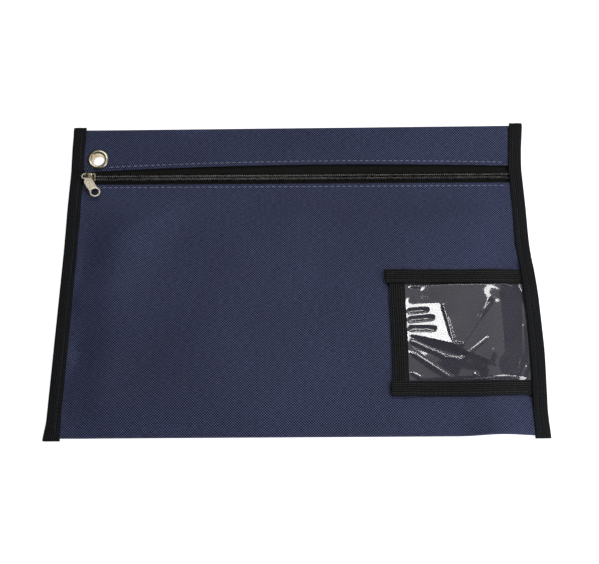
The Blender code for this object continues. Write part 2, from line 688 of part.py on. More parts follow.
def build_window(film_finish, tape_finish):
    film_x = within(FRONT_X, WINDOW_X + WINDOW_TAPE - FILM_UNDER_TAPE, CLOTH_EDGE)
    film_y = within(FRONT_Y, FILM_Y - FILM_UNDER_TAPE, FILM_TOP + FILM_UNDER_TAPE)
    laid_sheet(
        "window_film", film_x, film_y, lambda x, y: front_top(x, y) + GAP + film_arch(x, y), FILM, film_finish
    )
    laid_sheet(
        "window_tape_left",
        [WINDOW_X, WINDOW_IN_X],
        within(FRONT_Y, WINDOW_Y + STACK_MARGIN, WINDOW_TOP - STACK_MARGIN),
        lambda x, y: front_top(x, y) + LEFT_TAPE_LAYER,
        TAPE,
        tape_finish,
    )
    for name, past, low in (
        ("window_tape_top", TOP_TAPE_PAST, FILM_TOP),
        ("window_tape_bottom", BOTTOM_TAPE_PAST, WINDOW_Y),
    ):
        laid_sheet(
            name,
            within(FRONT_X, WINDOW_X - past, CLOTH_EDGE),
            within(FRONT_Y, low, low + WINDOW_TAPE),
            lambda x, y: front_top(x, y) + tape_layer(x),
            TAPE,
            tape_finish,
        )


# ---------------------------------------------------------------- stitching


def thread_row(name, xs, ys, surface, finish):
    """A row of stitches as one plain strip just above the surface that it is sewn to."""
    return laid_sheet(name, xs, ys, lambda x, y: surface(x, y) + GAP, THREAD, finish)


def build_stitching(grey, black):
    band = (-THREAD_HALF, THREAD_HALF)
    zip_end = BINDING_IN - GAP
    for name, edge, step, start in (
        ("zip_stitch_lower", lambda x: FRONT_EDGE, -HEM_STITCH_IN, -zip_end),
        ("zip_stitch_upper", header_edge, HEM_STITCH_IN, EYELET_X + EYELET_RADIUS + GAP),
    ):
        xs = within(HEADER_X, start, zip_end)
        low = [[(x, edge(x) + step + b, header_top(x, edge(x) + step) + GAP) for b in band] for x in xs]
        top = [[(x, y, z + THREAD) for x, y, z in row] for row in low]
        skin(name, top, low, grey)
    ys = within(BINDING_Y, -HALF_H + FOLD_MIDDLE, HALF_H - FOLD_MIDDLE)
    for name, side in (("left_binding_stitch", -1), ("right_binding_stitch", 1)):
        x = side * (BINDING_IN + BINDING_STITCH_IN)
        xs = [x - THREAD_HALF, x + THREAD_HALF]
        thread_row(name, xs, ys, lambda x, y: stack_top(side * BINDING_IN, y) + GAP + TAPE, black)
    tape_x = within(FRONT_X, WINDOW_X - TAPE_STITCH_END, BINDING_IN - GAP)
    for name, low in (("top", FILM_TOP), ("bottom", WINDOW_Y)):
        for row, y in (("lower", low + TAPE_STITCH_IN), ("upper", low + WINDOW_TAPE - TAPE_STITCH_IN)):
            thread_row(
                f"window_{name}_stitch_{row}",
                tape_x,
                [y - THREAD_HALF, y + THREAD_HALF],
                lambda x, y: front_top(x, y) + tape_layer(x) + TAPE,
                black,
            )
    tape_y = within(FRONT_Y, FILM_Y + GAP, FILM_TOP - GAP)
    for row, x in (("outer", WINDOW_X + TAPE_STITCH_IN), ("inner", WINDOW_IN_X - TAPE_STITCH_IN)):
        thread_row(
            f"window_left_stitch_{row}",
            [x - THREAD_HALF, x + THREAD_HALF],
            tape_y,
            lambda x, y: front_top(x, y) + LEFT_TAPE_LAYER + TAPE,
            black,
        )


# ---------------------------------------------------------------- the bag

for old in list(bpy.data.objects):
    bpy.data.objects.remove(old)

navy_cloth = material("navy_cloth", (0.032, 0.040, 0.080), 0.55)
black_tape = material("black_tape", (0.012, 0.012, 0.015), 0.8)
zip_cloth = material("zip_cloth", (0.010, 0.010, 0.012), 0.85)
coil_nylon = material("coil_nylon", (0.012, 0.012, 0.014), 0.4)
clear_film = material("clear_film", (0.75, 0.76, 0.78), 0.08, alpha=0.3)
nickel = material("nickel", (0.62, 0.60, 0.54), 0.25, metallic=1.0)
grey_thread = material("grey_thread", (0.20, 0.22, 0.30), 0.7)
black_thread = material("black_thread", (0.020, 0.020, 0.024), 0.7)

build_body(navy_cloth)
build_binding("left_binding", -1, black_tape)
build_binding("right_binding", 1, black_tape)
build_zip(zip_cloth, coil_nylon)
build_window(clear_film, black_tape)
build_eyelet(nickel)
build_stitching(grey_thread, black_thread)

slider = build_slider(nickel)
puller = build_puller(nickel)
swivel = bpy.data.objects.new("puller_swivel", None)
bpy.context.collection.objects.link(swivel)
swivel.location = (BRIDGE_LEG_X - SLIDER_X, 0.0, PULLER_Z - PLATE_TOP)
swivel.parent = slider
puller.parent = swivel
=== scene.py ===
"""Cash deposit bag, lying flat on a pale studio floor: how it looks.

Metres, +Z up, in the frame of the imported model. The sections below follow the bag as it is made:
its cloth body, the zip with its slider, the eyelet, the label window, the bindings and the sewing.
"""

import math

import bmesh
import bpy
import numpy as np
from mathutils import Matrix, Vector, noise


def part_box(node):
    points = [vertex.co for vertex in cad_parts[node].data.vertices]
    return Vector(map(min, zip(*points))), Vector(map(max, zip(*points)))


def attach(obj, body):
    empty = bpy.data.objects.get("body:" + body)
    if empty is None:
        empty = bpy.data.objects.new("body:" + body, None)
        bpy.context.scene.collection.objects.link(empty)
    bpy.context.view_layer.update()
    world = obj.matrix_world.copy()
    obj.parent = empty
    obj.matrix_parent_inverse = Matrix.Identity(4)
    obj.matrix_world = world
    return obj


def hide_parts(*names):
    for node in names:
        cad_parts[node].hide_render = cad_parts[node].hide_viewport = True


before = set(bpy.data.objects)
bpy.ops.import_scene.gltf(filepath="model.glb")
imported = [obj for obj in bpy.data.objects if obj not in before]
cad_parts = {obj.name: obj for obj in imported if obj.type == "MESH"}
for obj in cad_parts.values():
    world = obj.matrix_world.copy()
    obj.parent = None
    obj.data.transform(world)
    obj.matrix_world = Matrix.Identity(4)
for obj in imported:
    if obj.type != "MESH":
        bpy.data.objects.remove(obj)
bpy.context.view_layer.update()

# ---------------------------------------------------------------- camera
# A product camera above the bag and a little in front of it, with a normal lens held almost level.

CAMERA_PLACE = (0.0020, -0.3231, 0.6804)
CAMERA_TILT = 25.0
CAMERA_ROLL = -0.35
CAMERA_LENS = 60.8

camera_data = bpy.data.cameras.new("camera")
camera_data.lens = CAMERA_LENS
camera_data.clip_start = 0.01
camera = bpy.data.objects.new("camera", camera_data)
camera.location = CAMERA_PLACE
tilt = Matrix.Rotation(math.radians(CAMERA_TILT), 4, "X")
camera.rotation_euler = (tilt @ Matrix.Rotation(math.radians(CAMERA_ROLL), 4, "Z")).to_euler()
bpy.context.collection.objects.link(camera)
bpy.context.scene.camera = camera
bpy.context.scene.view_settings.view_transform = "Standard"

# ---------------------------------------------------------------- floor and lights
# A seamless white sweep under a broad main light from the right front. A small softbox, a strip and
# a wide panel hang behind the bag, and their reflections run along the metal and the film.

FLOOR_SIDE = 6.0
FLOOR_DROP = 0.0004
FLOOR_WHITE = 0.90
FLOOR_GLOW = 0.86
ROOM_WHITE = 0.030
# Each light's name, place, width, height and power
LIGHTS = (
    ("main_right", (0.74, -0.50, 0.54), 0.56, 0.56, 5.2),
    ("softbox_left", (-0.14, 0.46, 1.19), 0.26, 0.26, 1.5),
    ("strip_back", (0.35, 0.98, 1.10), 1.50, 0.12, 3.4),
    ("panel_back", (0.50, 1.35, 2.30), 3.40, 2.00, 6.2),
)

floor_mesh = bpy.data.meshes.new("floor")
reach = FLOOR_SIDE / 2
corners = ((-reach, -reach), (reach, -reach), (reach, reach), (-reach, reach))
floor_mesh.from_pydata([(x, y, -FLOOR_DROP) for x, y in corners], [], [(0, 1, 2, 3)])
floor = bpy.data.objects.new("floor", floor_mesh)
bpy.context.collection.objects.link(floor)
floor_paint = bpy.data.materials.new("floor_paint")
floor_paint.use_nodes = True
floor_shader = floor_paint.node_tree.nodes["Principled BSDF"]
floor_shader.inputs["Base Color"].default_value = (FLOOR_WHITE, FLOOR_WHITE, FLOOR_WHITE, 1)
floor_shader.inputs["Roughness"].default_value = 1.0
floor_shader.inputs["Specular IOR Level"].default_value = 0.0
floor_shader.inputs["Emission Color"].default_value = (1, 1, 1, 1)
floor_shader.inputs["Emission Strength"].default_value = FLOOR_GLOW
floor.data.materials.append(floor_paint)

room = bpy.data.worlds.new("room")
room.use_nodes = True
room.node_tree.nodes["Background"].inputs["Color"].default_value = (1, 1, 1, 1)
room.node_tree.nodes["Background"].inputs["Strength"].default_value = ROOM_WHITE
bpy.context.scene.world = room

for name, place, width, height, power in LIGHTS:
    light = bpy.data.lights.new(name, "AREA")
    light.shape = "RECTANGLE"
    light.size = width
    light.size_y = height
    light.energy = power
    lamp = bpy.data.objects.new(name, light)
    lamp.location = place
    lamp.rotation_euler = Vector(place).to_track_quat("Z", "Y").to_euler()
    bpy.context.collection.objects.link(lamp)

# ---------------------------------------------------------------- body cloth
# The bag's body: one strip of coated plain-woven polyester, hemmed at both ends. It runs from the
# front's hem to the bottom fold, under the bag, round the top fold and back to the header's hem.

CLOTH = 0.00035
CLOTH_STEP = 0.0026
CLOTH_NAVY = (0.0010, 0.0014, 0.0050)
CLOTH_NAVY_LIGHT = (0.1650, 0.1950, 0.4000)
CLOTH_MOTTLE = 0.60
CLOTH_SHEEN = 0.06
SHEEN_BLUE = (0.62, 0.68, 1.0, 1)
THREAD_PITCH = 0.00094
THREAD_DOME = 0.00012
SLUB_STRETCH = 9.0
SLUB_SCALE = 260.0
MOTTLE_SCALE = 9.0
DUST_SCALE = 900.0
HEM_DEPTH = 0.008
HEM_UNDER = 0.00085
HEM_ROLL = 0.0004
HEM_HALF = 0.00042
HEM_SINK = 0.0002
HEM_START = 0.0015
FOLD_THICKNESS = 0.0030
PUFF_TOP = 0.0082
PUFF_SIDE_RAMP = 0.035
PUFF_FOLD_RAMP = 0.024
PUFF_ZIP_RAMP = 0.026
SEAM_RAMP = 0.022
FLAT_MARGIN = 0.002
ZIP_TAPE_HALF = 0.014
HEM_TOP = 0.0055
FRONT_SEAM_TOP = 0.0021
BACK_SEAM = 0.0008
LIFT_LEFT, LIFT_RIGHT = 0.0070, 0.0150
PULL_IN_LEFT, PULL_IN_RIGHT = 0.0022, 0.0050
HEADER_SLOPE = math.tan(math.radians(10))
HEADER_EDGE_UP = 0.0114
HEADER_EDGE_BOW = 0.0060
HEADER_BOW_X = 0.040
SIDE_BOW = 0.0024
SIDE_BOW_Y, SIDE_BOW_FLAT, SIDE_BOW_RAMP = -0.042, 0.015, 0.058
SIDE_BOW_FROM, SIDE_BOW_RUN = 0.04, 0.13
TOP_FLARE = 0.0012
TOP_FLARE_FROM, TOP_FLARE_RUN = 0.004, 0.035
WINDOW_LIFT = 0.0026
WINDOW_LIFT_Y, WINDOW_LIFT_FLAT, WINDOW_LIFT_RAMP = -0.048, 0.050, 0.030
WINDOW_LIFT_FROM, WINDOW_LIFT_RUN = 0.1265, 0.038
RIPPLE_LIFT = 0.005
RIPPLE_RUN = 0.024
RIPPLE_FROM_SIDE = 0.033
RIPPLE_HALF_WIDTH = 0.030
CREASE_REACH = 2.6
CREASE_FADE = 0.006
PUCKER = 0.0009
PUCKER_RUN = 0.016
PUCKER_SCALE = 38.0
EYELET_BELOW_TOP = 0.0280
EYELET_BACK_LIFT = 0.0040
EYELET_BLEND = 0.017
EYELET_MARGIN = 0.0006

HALF_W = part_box("right_binding")[1].x
BINDING_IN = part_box("right_binding")[0].x
CLOTH_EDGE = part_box("front_panel")[1].x
HALF_H = -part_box("front_panel")[0].y
FRONT_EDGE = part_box("front_panel")[1].y
ZIP_Y = (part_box("zip_coil_lower")[1].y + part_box("zip_coil_upper")[0].y) / 2
ZIP_BELOW_TOP = HALF_H - ZIP_Y
FLAT_FROM = ZIP_Y - ZIP_TAPE_HALF - FLAT_MARGIN
FOLD_MIDDLE = FOLD_THICKNESS / 2
HEM_LOW = ZIP_Y + HEADER_EDGE_UP - HEADER_EDGE_BOW
EYELET_X = (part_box("eyelet")[0].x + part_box("eyelet")[1].x) / 2
EYELET_RADIUS = (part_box("eyelet")[1].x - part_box("eyelet")[0].x) / 2
EYELET_Y = HALF_H - EYELET_BELOW_TOP
EYELET_FLAT = EYELET_RADIUS + EYELET_MARGIN

# Soft creases that show in the relaxed cloth: middle x, middle y, turn in degrees, half length,
# half width and height, in millimetres
CREASES = (
    (-130, 26, 52, 44, 13, 2.6),
    (-112, -66, 44, 48, 17, -2.6),
    (-150, 4, 24, 30, 8, -2.0),
    (-146, -22, 14, 30, 9, 1.8),
    (-150, -62, 12, 30, 10, -2.0),
    (-146, -88, 20, 30, 10, 1.6),
    (-92, 26, 60, 50, 16, -2.4),
    (-56, -40, 74, 70, 24, 2.4),
    (20, 20, 80, 60, 26, -1.8),
    (70, 35, -35, 50, 18, 1.5),
    (140, 30, -52, 34, 10, -1.0),
    (128, 18, -40, 40, 11, 0.9),
    (30, -100, 4, 70, 10, -0.6),
    (-30, -88, 12, 60, 14, 0.6),
)


def ease(t):
    """0 below 0, 1 above 1, with a smooth rise between."""
    t = min(max(t, 0.0), 1.0)
    return t * t * (3 - 2 * t)


def mix(a, b, t):
    return a + (b - a) * t


def near(value, centre, flat, ramp):
    """1 within flat of centre, falling smoothly to 0 over the ramp beyond."""
    return ease((flat + ramp - abs(value - centre)) / ramp)


def across(left, right, x):
    """A value that changes evenly from the bag's left edge to its right edge."""
    return mix(left, right, (x + HALF_W) / (2 * HALF_W))


def pulled_in(x, y):
    """Where a point of the flat bag comes to lie: the header curls up and draws the top fold in."""
    rise = max(y - ZIP_Y, 0.0) / ZIP_BELOW_TOP
    return y - across(PULL_IN_LEFT, PULL_IN_RIGHT, x) * rise**2


def bowed(point):
    """Where the sewn bag's right side comes to lie: filled and handled, it bows outwards."""
    x, y, z = point
    bow = SIDE_BOW * near(y, SIDE_BOW_Y, SIDE_BOW_FLAT, SIDE_BOW_RAMP)
    bow += TOP_FLARE * ease((y - ZIP_Y - TOP_FLARE_FROM) / TOP_FLARE_RUN)
    lift = WINDOW_LIFT * near(y, WINDOW_LIFT_Y, WINDOW_LIFT_FLAT, WINDOW_LIFT_RAMP)
    lift *= ease((x - WINDOW_LIFT_FROM) / WINDOW_LIFT_RUN)
    return (x + bow * ease((x - SIDE_BOW_FROM) / SIDE_BOW_RUN), y + lift, z)


def bottom_ripple(x, y):
    """One low wave in the bottom fold near its right end."""
    wave = near(x, HALF_W - RIPPLE_FROM_SIDE, 0.0, RIPPLE_HALF_WIDTH)
    return RIPPLE_LIFT * wave * ease((RIPPLE_RUN - HALF_H - y) / RIPPLE_RUN)


def back_under(x, y):
    """Underside of the bag."""
    seam = BACK_SEAM * ease((abs(x) - BINDING_IN + SEAM_RAMP) / SEAM_RAMP)
    rise = max(y - ZIP_Y, 0.0) / ZIP_BELOW_TOP
    free = seam + across(LIFT_LEFT, LIFT_RIGHT, x) * rise**2 + bottom_ripple(x, y)
    eyelet = near(x, EYELET_X, EYELET_FLAT, EYELET_BLEND)
    eyelet *= near(y, EYELET_Y, EYELET_FLAT, EYELET_BLEND)
    return max(free, mix(free, EYELET_BACK_LIFT + HEADER_SLOPE * (y - EYELET_Y), eyelet))


def seam_top(y):
    """Top of the front where the side seams hold it down."""
    rise = ease((y - FLAT_FROM + 2 * PUFF_ZIP_RAMP) / (2 * PUFF_ZIP_RAMP))
    return mix(FRONT_SEAM_TOP, HEM_TOP, rise)


def creased(x, y):
    """Height of the soft creases and of the puckers that the side seams gather."""
    height = 0.0
    for cx, cy, turn, long, wide, high in CREASES:
        dx, dy = 1000 * x - cx, 1000 * y - cy
        if abs(dx) + abs(dy) > CREASE_REACH * (long + wide):
            continue
        c, s = math.cos(math.radians(turn)), math.sin(math.radians(turn))
        along, off = (dx * c + dy * s) / long, (-dx * s + dy * c) / wide
        height += 0.001 * high * math.exp(-along * along - off * off)
    seam = math.exp(-((BINDING_IN - abs(x)) / PUCKER_RUN))
    pucker = noise.noise(Vector((3.0 * math.copysign(1, x), y * PUCKER_SCALE, 4.0)))
    return height + PUCKER * pucker * seam


def front_top(x, y):
    """Top of the front: a low puff that falls to the seams, the fold and the zip."""
    if y >= FLAT_FROM:
        return HEM_TOP
    side = ease((BINDING_IN - abs(x)) / PUFF_SIDE_RAMP)
    low = ease((y + HALF_H) / PUFF_FOLD_RAMP)
    high = ease((FLAT_FROM - y) / PUFF_ZIP_RAMP)
    fold = mix(FRONT_SEAM_TOP, FOLD_THICKNESS, side)
    edge = mix(fold, seam_top(y), ease((y + HALF_H) / (2 * HALF_H)))
    edge = mix(edge, seam_top(y), 1 - side)
    inside = ease((BINDING_IN - abs(x)) / CREASE_FADE) * low * high
    top = mix(mix(edge, HEM_TOP, 1 - high), PUFF_TOP, side * low * high)
    return top + bottom_ripple(x, y) + creased(x, y) * inside


def header_top(x, y):
    """Top of the header: tilted evenly past the eyelet, then curling to the top fold."""
    high = EYELET_Y + EYELET_FLAT
    flat = HEM_TOP + HEADER_SLOPE * max(min(y, high) - HEM_LOW, 0.0)
    curl = max(y - high, 0.0) / (HALF_H - high)
    return mix(flat, across(LIFT_LEFT, LIFT_RIGHT, x) + FOLD_THICKNESS, curl)


def header_edge(x):
    """The header's hem bows away from the zip, most a little right of the middle."""
    off = (x - HEADER_BOW_X) / (HALF_W + HEADER_BOW_X)
    return ZIP_Y + HEADER_EDGE_UP - HEADER_EDGE_BOW * off**2


def steps(low, high, step):
    """Evenly spaced values from low to high, both included, about a step apart."""
    count = max(1, math.ceil(abs(high - low) / step))
    return [mix(low, high, k / count) for k in range(count + 1)]


def sheet_mesh(name, rows, thickness, offset=1.0):
    """A sheet from rows of points, as a thin solid. Its UVs are metres over the sheet."""
    rows = [[bowed(p) for p in row] for row in rows]
    count, width = len(rows), len(rows[0])
    faces = []
    for i in range(count - 1):
        for j in range(width - 1):
            here, after = i * width + j, (i + 1) * width + j
            faces.append((here, here + 1, after + 1, after))
    mesh = bpy.data.meshes.new(name)
    mesh.from_pydata([p for row in rows for p in row], [], faces)
    grid = np.array(rows)
    u = np.zeros((count, width))
    v = np.zeros((count, width))
    u[:, 1:] = np.cumsum(np.linalg.norm(np.diff(grid, axis=1), axis=2), axis=1)
    v[1:, :] = np.cumsum(np.linalg.norm(np.diff(grid, axis=0), axis=2), axis=0)
    u -= u.mean(axis=1, keepdims=True)
    flat_u = u.ravel()
    flat_v = v.mean(axis=1, keepdims=True).repeat(width, axis=1).ravel()
    layer = mesh.uv_layers.new(name="cloth")
    for loop in mesh.loops:
        layer.data[loop.index].uv = (flat_u[loop.vertex_index], flat_v[loop.vertex_index])
    mesh.shade_smooth()
    made = bpy.data.objects.new(name, mesh)
    bpy.context.collection.objects.link(made)
    solid = made.modifiers.new("thickness", "SOLIDIFY")
    solid.thickness = thickness
    solid.offset = offset
    return made


def group(name, inputs, outputs):
    """A new shader node group with its input and output nodes."""
    tree = bpy.data.node_groups.new(name, "ShaderNodeTree")
    for label, kind, value in inputs:
        socket = tree.interface.new_socket(label, in_out="INPUT", socket_type=kind)
        if value is not None:
            socket.default_value = value
    for label, kind in outputs:
        tree.interface.new_socket(label, in_out="OUTPUT", socket_type=kind)
    return tree, tree.nodes.new("NodeGroupInput"), tree.nodes.new("NodeGroupOutput")


def feed(tree, socket, value):
    """Sets a socket to a number or a colour, or links it to another node."""
    if isinstance(value, tuple):
        socket.default_value = (*value, 1.0)
    elif isinstance(value, (int, float)):
        socket.default_value = value
    else:
        tree.links.new(value, socket)


def math_node(tree, operation, *values):
    node = tree.nodes.new("ShaderNodeMath")
    node.operation = operation
    for socket, value in zip(node.inputs, values):
        feed(tree, socket, value)
    return node.outputs[0]


def noise_node(tree, vector, scale, detail=2.0, rough=0.5):
    node = tree.nodes.new("ShaderNodeTexNoise")
    for label, value in (("Scale", scale), ("Detail", detail), ("Roughness", rough)):
        feed(tree, node.inputs[label], value)
    tree.links.new(vector, node.inputs["Vector"])
    return node.outputs["Fac"]


def ramp_node(tree, value, low, high, out_low=0.0, out_high=1.0):
    """A value from low to high, spread evenly over out_low to out_high and held there beyond."""
    node = tree.nodes.new("ShaderNodeMapRange")
    ends = {"From Min": low, "From Max": high, "To Min": out_low, "To Max": out_high}
    for label, number in ends.items():
        node.inputs[label].default_value = number
    tree.links.new(value, node.inputs["Value"])
    return node.outputs["Result"]


def stretched(tree, vector, by):
    """Coordinates that run faster along Y, so that a noise on them lies in streaks along X."""
    node = tree.nodes.new("ShaderNodeVectorMath")
    node.operation = "MULTIPLY"
    node.inputs[1].default_value = (1.0, by, 1.0)
    tree.links.new(vector, node.inputs[0])
    return node.outputs[0]


def colour_mix(tree, factor, a, b):
    node = tree.nodes.new("ShaderNodeMix")
    node.data_type = "RGBA"
    for label, value in (("Factor", factor), ("A", a), ("B", b)):
        feed(tree, node.inputs[label], value)
    return node.outputs["Result"]


# Plain weave: threads pass over and under each other, so the surface is a chequer of small domes
weave, weave_in, weave_out = group(
    "plain_weave",
    [("Vector", "NodeSocketVector", None), ("Pitch", "NodeSocketFloat", 0.0008)],
    [("Height", "NodeSocketFloat"), ("Warp", "NodeSocketFloat"), ("Slub", "NodeSocketFloat")],
)
split = weave.nodes.new("ShaderNodeSeparateXYZ")
weave.links.new(weave_in.outputs["Vector"], split.inputs[0])
waves = []
for axis in ("X", "Y"):
    turns = math_node(weave, "DIVIDE", split.outputs[axis], weave_in.outputs["Pitch"])
    waves.append(math_node(weave, "SINE", math_node(weave, "MULTIPLY", turns, math.pi)))
over = math_node(weave, "MULTIPLY", *waves)
domes = math_node(weave, "POWER", math_node(weave, "ABSOLUTE", over), 0.6)
weave.links.new(domes, weave_out.inputs["Height"])
weave.links.new(ramp_node(weave, over, -0.15, 0.45), weave_out.inputs["Warp"])
streaks = stretched(weave, weave_in.outputs["Vector"], SLUB_STRETCH)
weave.links.new(noise_node(weave, streaks, SLUB_SCALE, 1.0), weave_out.inputs["Slub"])

# Broad unevenness of dye, dust and handling over a whole piece
mottle, mottle_in, mottle_out = group(
    "mottle",
    [("Vector", "NodeSocketVector", None), ("Amount", "NodeSocketFloat", 0.2)],
    [("Shade", "NodeSocketFloat"), ("Dust", "NodeSocketFloat")],
)
broad = noise_node(mottle, mottle_in.outputs["Vector"], MOTTLE_SCALE, 3.0)
uneven = math_node(mottle, "SUBTRACT", broad, 0.5)
shade = math_node(mottle, "MULTIPLY", uneven, mottle_in.outputs["Amount"])
mottle.links.new(math_node(mottle, "ADD", shade, 1.0), mottle_out.inputs["Shade"])
specks = noise_node(mottle, mottle_in.outputs["Vector"], DUST_SCALE, 2.0, 0.7)
mottle.links.new(ramp_node(mottle, specks, 0.62, 0.74), mottle_out.inputs["Dust"])


def finish(name, roughness, metallic=0.0, specular=0.5):
    """A material with its shader and tree, ready for its textures."""
    made = bpy.data.materials.new(name)
    made.use_nodes = True
    shader = made.node_tree.nodes["Principled BSDF"]
    shader.inputs["Roughness"].default_value = roughness
    shader.inputs["Metallic"].default_value = metallic
    shader.inputs["Specular IOR Level"].default_value = specular
    return made, made.node_tree, shader


def placed(tree, made, **values):
    """Puts a node group in a material, with the material's own values for its inputs."""
    node = tree.nodes.new("ShaderNodeGroup")
    node.node_tree = made
    for label, value in values.items():
        feed(tree, node.inputs[label], value)
    return node


def coordinates(tree, kind="UV"):
    return tree.nodes.new("ShaderNodeTexCoord").outputs[kind]


def bumped(tree, shader, height, distance, strength):
    """Relief too fine for the mesh."""
    node = tree.nodes.new("ShaderNodeBump")
    node.inputs["Distance"].default_value = distance
    node.inputs["Strength"].default_value = strength
    tree.links.new(height, node.inputs["Height"])
    tree.links.new(node.outputs["Normal"], shader.inputs["Normal"])


def scaled(tree, colour, factor):
    """A colour made lighter or darker by a value."""
    node = tree.nodes.new("ShaderNodeVectorMath")
    node.operation = "SCALE"
    tree.links.new(colour, node.inputs[0])
    tree.links.new(factor, node.inputs["Scale"])
    return node.outputs[0]


navy_cloth, tree, shader = finish("navy_cloth", 0.62, specular=0.22)
uv = coordinates(tree)
threads = placed(tree, weave, Vector=uv, Pitch=THREAD_PITCH)
patches = placed(tree, mottle, Vector=uv, Amount=CLOTH_MOTTLE)
slubs = ramp_node(tree, threads.outputs["Slub"], 0.3, 0.7, -0.16, 0.26)
warp = math_node(tree, "ADD", math_node(tree, "MULTIPLY", threads.outputs["Warp"], 0.90), slubs)
dyed = colour_mix(tree, warp, CLOTH_NAVY, CLOTH_NAVY_LIGHT)
# Painted shade: the colour darkens in the hollows between the thread domes, down to 0.16 of its
# value, and the mottle's random tone multiplies in
gap_shade = ramp_node(tree, threads.outputs["Height"], 0.0, 0.55, 0.16, 1.0)
gap_shade_and_mottle = math_node(tree, "MULTIPLY", gap_shade, patches.outputs["Shade"])
tree.links.new(scaled(tree, dyed, gap_shade_and_mottle), shader.inputs["Base Color"])
gloss = ramp_node(tree, threads.outputs["Warp"], 0.0, 1.0, 0.66, 0.52)
tree.links.new(gloss, shader.inputs["Roughness"])
shader.inputs["Sheen Weight"].default_value = CLOTH_SHEEN
shader.inputs["Sheen Roughness"].default_value = 0.4
shader.inputs["Sheen Tint"].default_value = SHEEN_BLUE
bumped(tree, shader, threads.outputs["Height"], THREAD_DOME, 0.8)


def fold_turn(x, y_turn, high, low, outward, count=10):
    """The cloth's half turn round a fold, from its upper layer to its lower one."""
    turn = []
    for k in range(1, count):
        a = math.radians(mix(90, -90, k / count))
        z = (high + low) / 2 + (high - low) / 2 * math.sin(a)
        turn.append((x, y_turn + outward * FOLD_MIDDLE * math.cos(a), z))
    return turn


def hem_turn(x, y, outward, top, count=5):
    """The hem's rolled edge, from its turned-under end round to the upper layer."""
    under, middle = y - outward * HEM_DEPTH, y - outward * HEM_ROLL
    points = [(x, under, top(x, under) - HEM_UNDER)]
    z = top(x, middle) - HEM_HALF
    for k in range(count + 1):
        a = math.radians(mix(-90, 90, k / count))
        points.append((x, middle + outward * HEM_ROLL * math.cos(a), z + HEM_HALF * math.sin(a)))
    return points


def body_column(x):
    """The strip's outer surface at one place across the bag, from hem to hem."""
    turn_y = HALF_H - FOLD_MIDDLE
    edge = header_edge(x)
    header_hem = HEM_LOW + HEM_DEPTH

    def hem_top(px, py):
        """Top of the header's hem; its turned-under end stays level above the zip's tape."""
        return header_top(px, py) if py < edge + HEM_DEPTH / 2 else header_top(px, edge) - HEM_SINK

    column = hem_turn(x, FRONT_EDGE, 1, front_top)
    front = steps(FRONT_EDGE - HEM_START, -turn_y, CLOTH_STEP)
    column += [(x, y, front_top(x, y)) for y in front]
    column += fold_turn(x, -turn_y, front_top(x, -turn_y), back_under(x, -turn_y), -1)
    column += [(x, y, back_under(x, y)) for y in steps(-turn_y, turn_y, 2 * CLOTH_STEP)]
    column += fold_turn(x, turn_y, header_top(x, turn_y), back_under(x, turn_y), 1)[::-1]
    header = steps(turn_y, header_hem, CLOTH_STEP)
    header += [mix(header_hem, edge + HEM_ROLL, k / 3) for k in (1, 2)]
    column += [(x, y, header_top(x, y)) for y in header]
    column += hem_turn(x, edge, -1, hem_top)[::-1]
    return [(px, pulled_in(px, py), pz) for px, py, pz in column]


columns = [body_column(x) for x in steps(-CLOTH_EDGE, CLOTH_EDGE, CLOTH_STEP)]
body = sheet_mesh("body_cloth", list(zip(*columns)), CLOTH)
body.data.materials.append(navy_cloth)
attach(body, "bag")
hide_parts("front_panel", "back_panel", "header_panel")

# ---------------------------------------------------------------- zip tapes
# Two black woven polyester tapes, sewn under the cloth's hems, each with a raised cord beside the
# chain. They run the whole width of the bag and into both bindings.

ZIP_TAPE = 0.0004
ZIP_TAPE_STEP, ZIP_TAPE_STEP_OVER = 0.003, 0.0012
ZIP_BLACK = (0.0050, 0.0050, 0.0048)
# The lighter colour is a painted highlight on the tape's rib crossings
ZIP_RIB_HIGHLIGHT = (0.0400, 0.0390, 0.0350)
ZIP_RIB, ZIP_PICK = 0.0011, 0.0007
CORD_IN, CORD_HALF, CORD_RISE = 0.0042, 0.0005, 0.00025
ZIP_TAPE_LOW = 0.0001
ZIP_TAPE_SWAY, ZIP_TAPE_SCALE = 0.00012, 60
DUST_GREY = (0.35, 0.36, 0.38)
TAPE_DUST = 0.05
TAPE_MOTTLE = 0.6
TAPE_SHEEN = 0.02
YARN_SCALE = 700.0

# Woven tape: ribs of yarn along the tape, crossed by fine picks, with a painted highlight on the
# yarn crossings
ribs, ribs_in, ribs_out = group(
    "tape_ribs",
    [
        ("Vector", "NodeSocketVector", None),
        ("Rib", "NodeSocketFloat", 0.001),
        ("Pick", "NodeSocketFloat", 0.0005),
    ],
    [("Height", "NodeSocketFloat"), ("Yarn_Highlight", "NodeSocketFloat")],
)
split = ribs.nodes.new("ShaderNodeSeparateXYZ")
ribs.links.new(ribs_in.outputs["Vector"], split.inputs[0])
bands = []
for axis, label in (("X", "Rib"), ("Y", "Pick")):
    turns = math_node(ribs, "DIVIDE", split.outputs[axis], ribs_in.outputs[label])
    wave = math_node(ribs, "SINE", math_node(ribs, "MULTIPLY", turns, 2 * math.pi))
    bands.append(math_node(ribs, "MULTIPLY", math_node(ribs, "ADD", wave, 1.0), 0.5))
crossed = math_node(ribs, "MULTIPLY", *bands)
cords = math_node(ribs, "MULTIPLY", bands[0], 0.6)
picks = math_node(ribs, "MULTIPLY", crossed, 0.4)
ribs.links.new(math_node(ribs, "ADD", cords, picks), ribs_out.inputs["Height"])
# The yarn output is a painted highlight: lighter on the raised yarn crossings, varied by a fuzz
# noise
fuzz = noise_node(ribs, ribs_in.outputs["Vector"], YARN_SCALE, 1.0)
yarn_highlight = math_node(ribs, "MULTIPLY", crossed, fuzz)
ribs.links.new(math_node(ribs, "MULTIPLY", yarn_highlight, 1.8), ribs_out.inputs["Yarn_Highlight"])


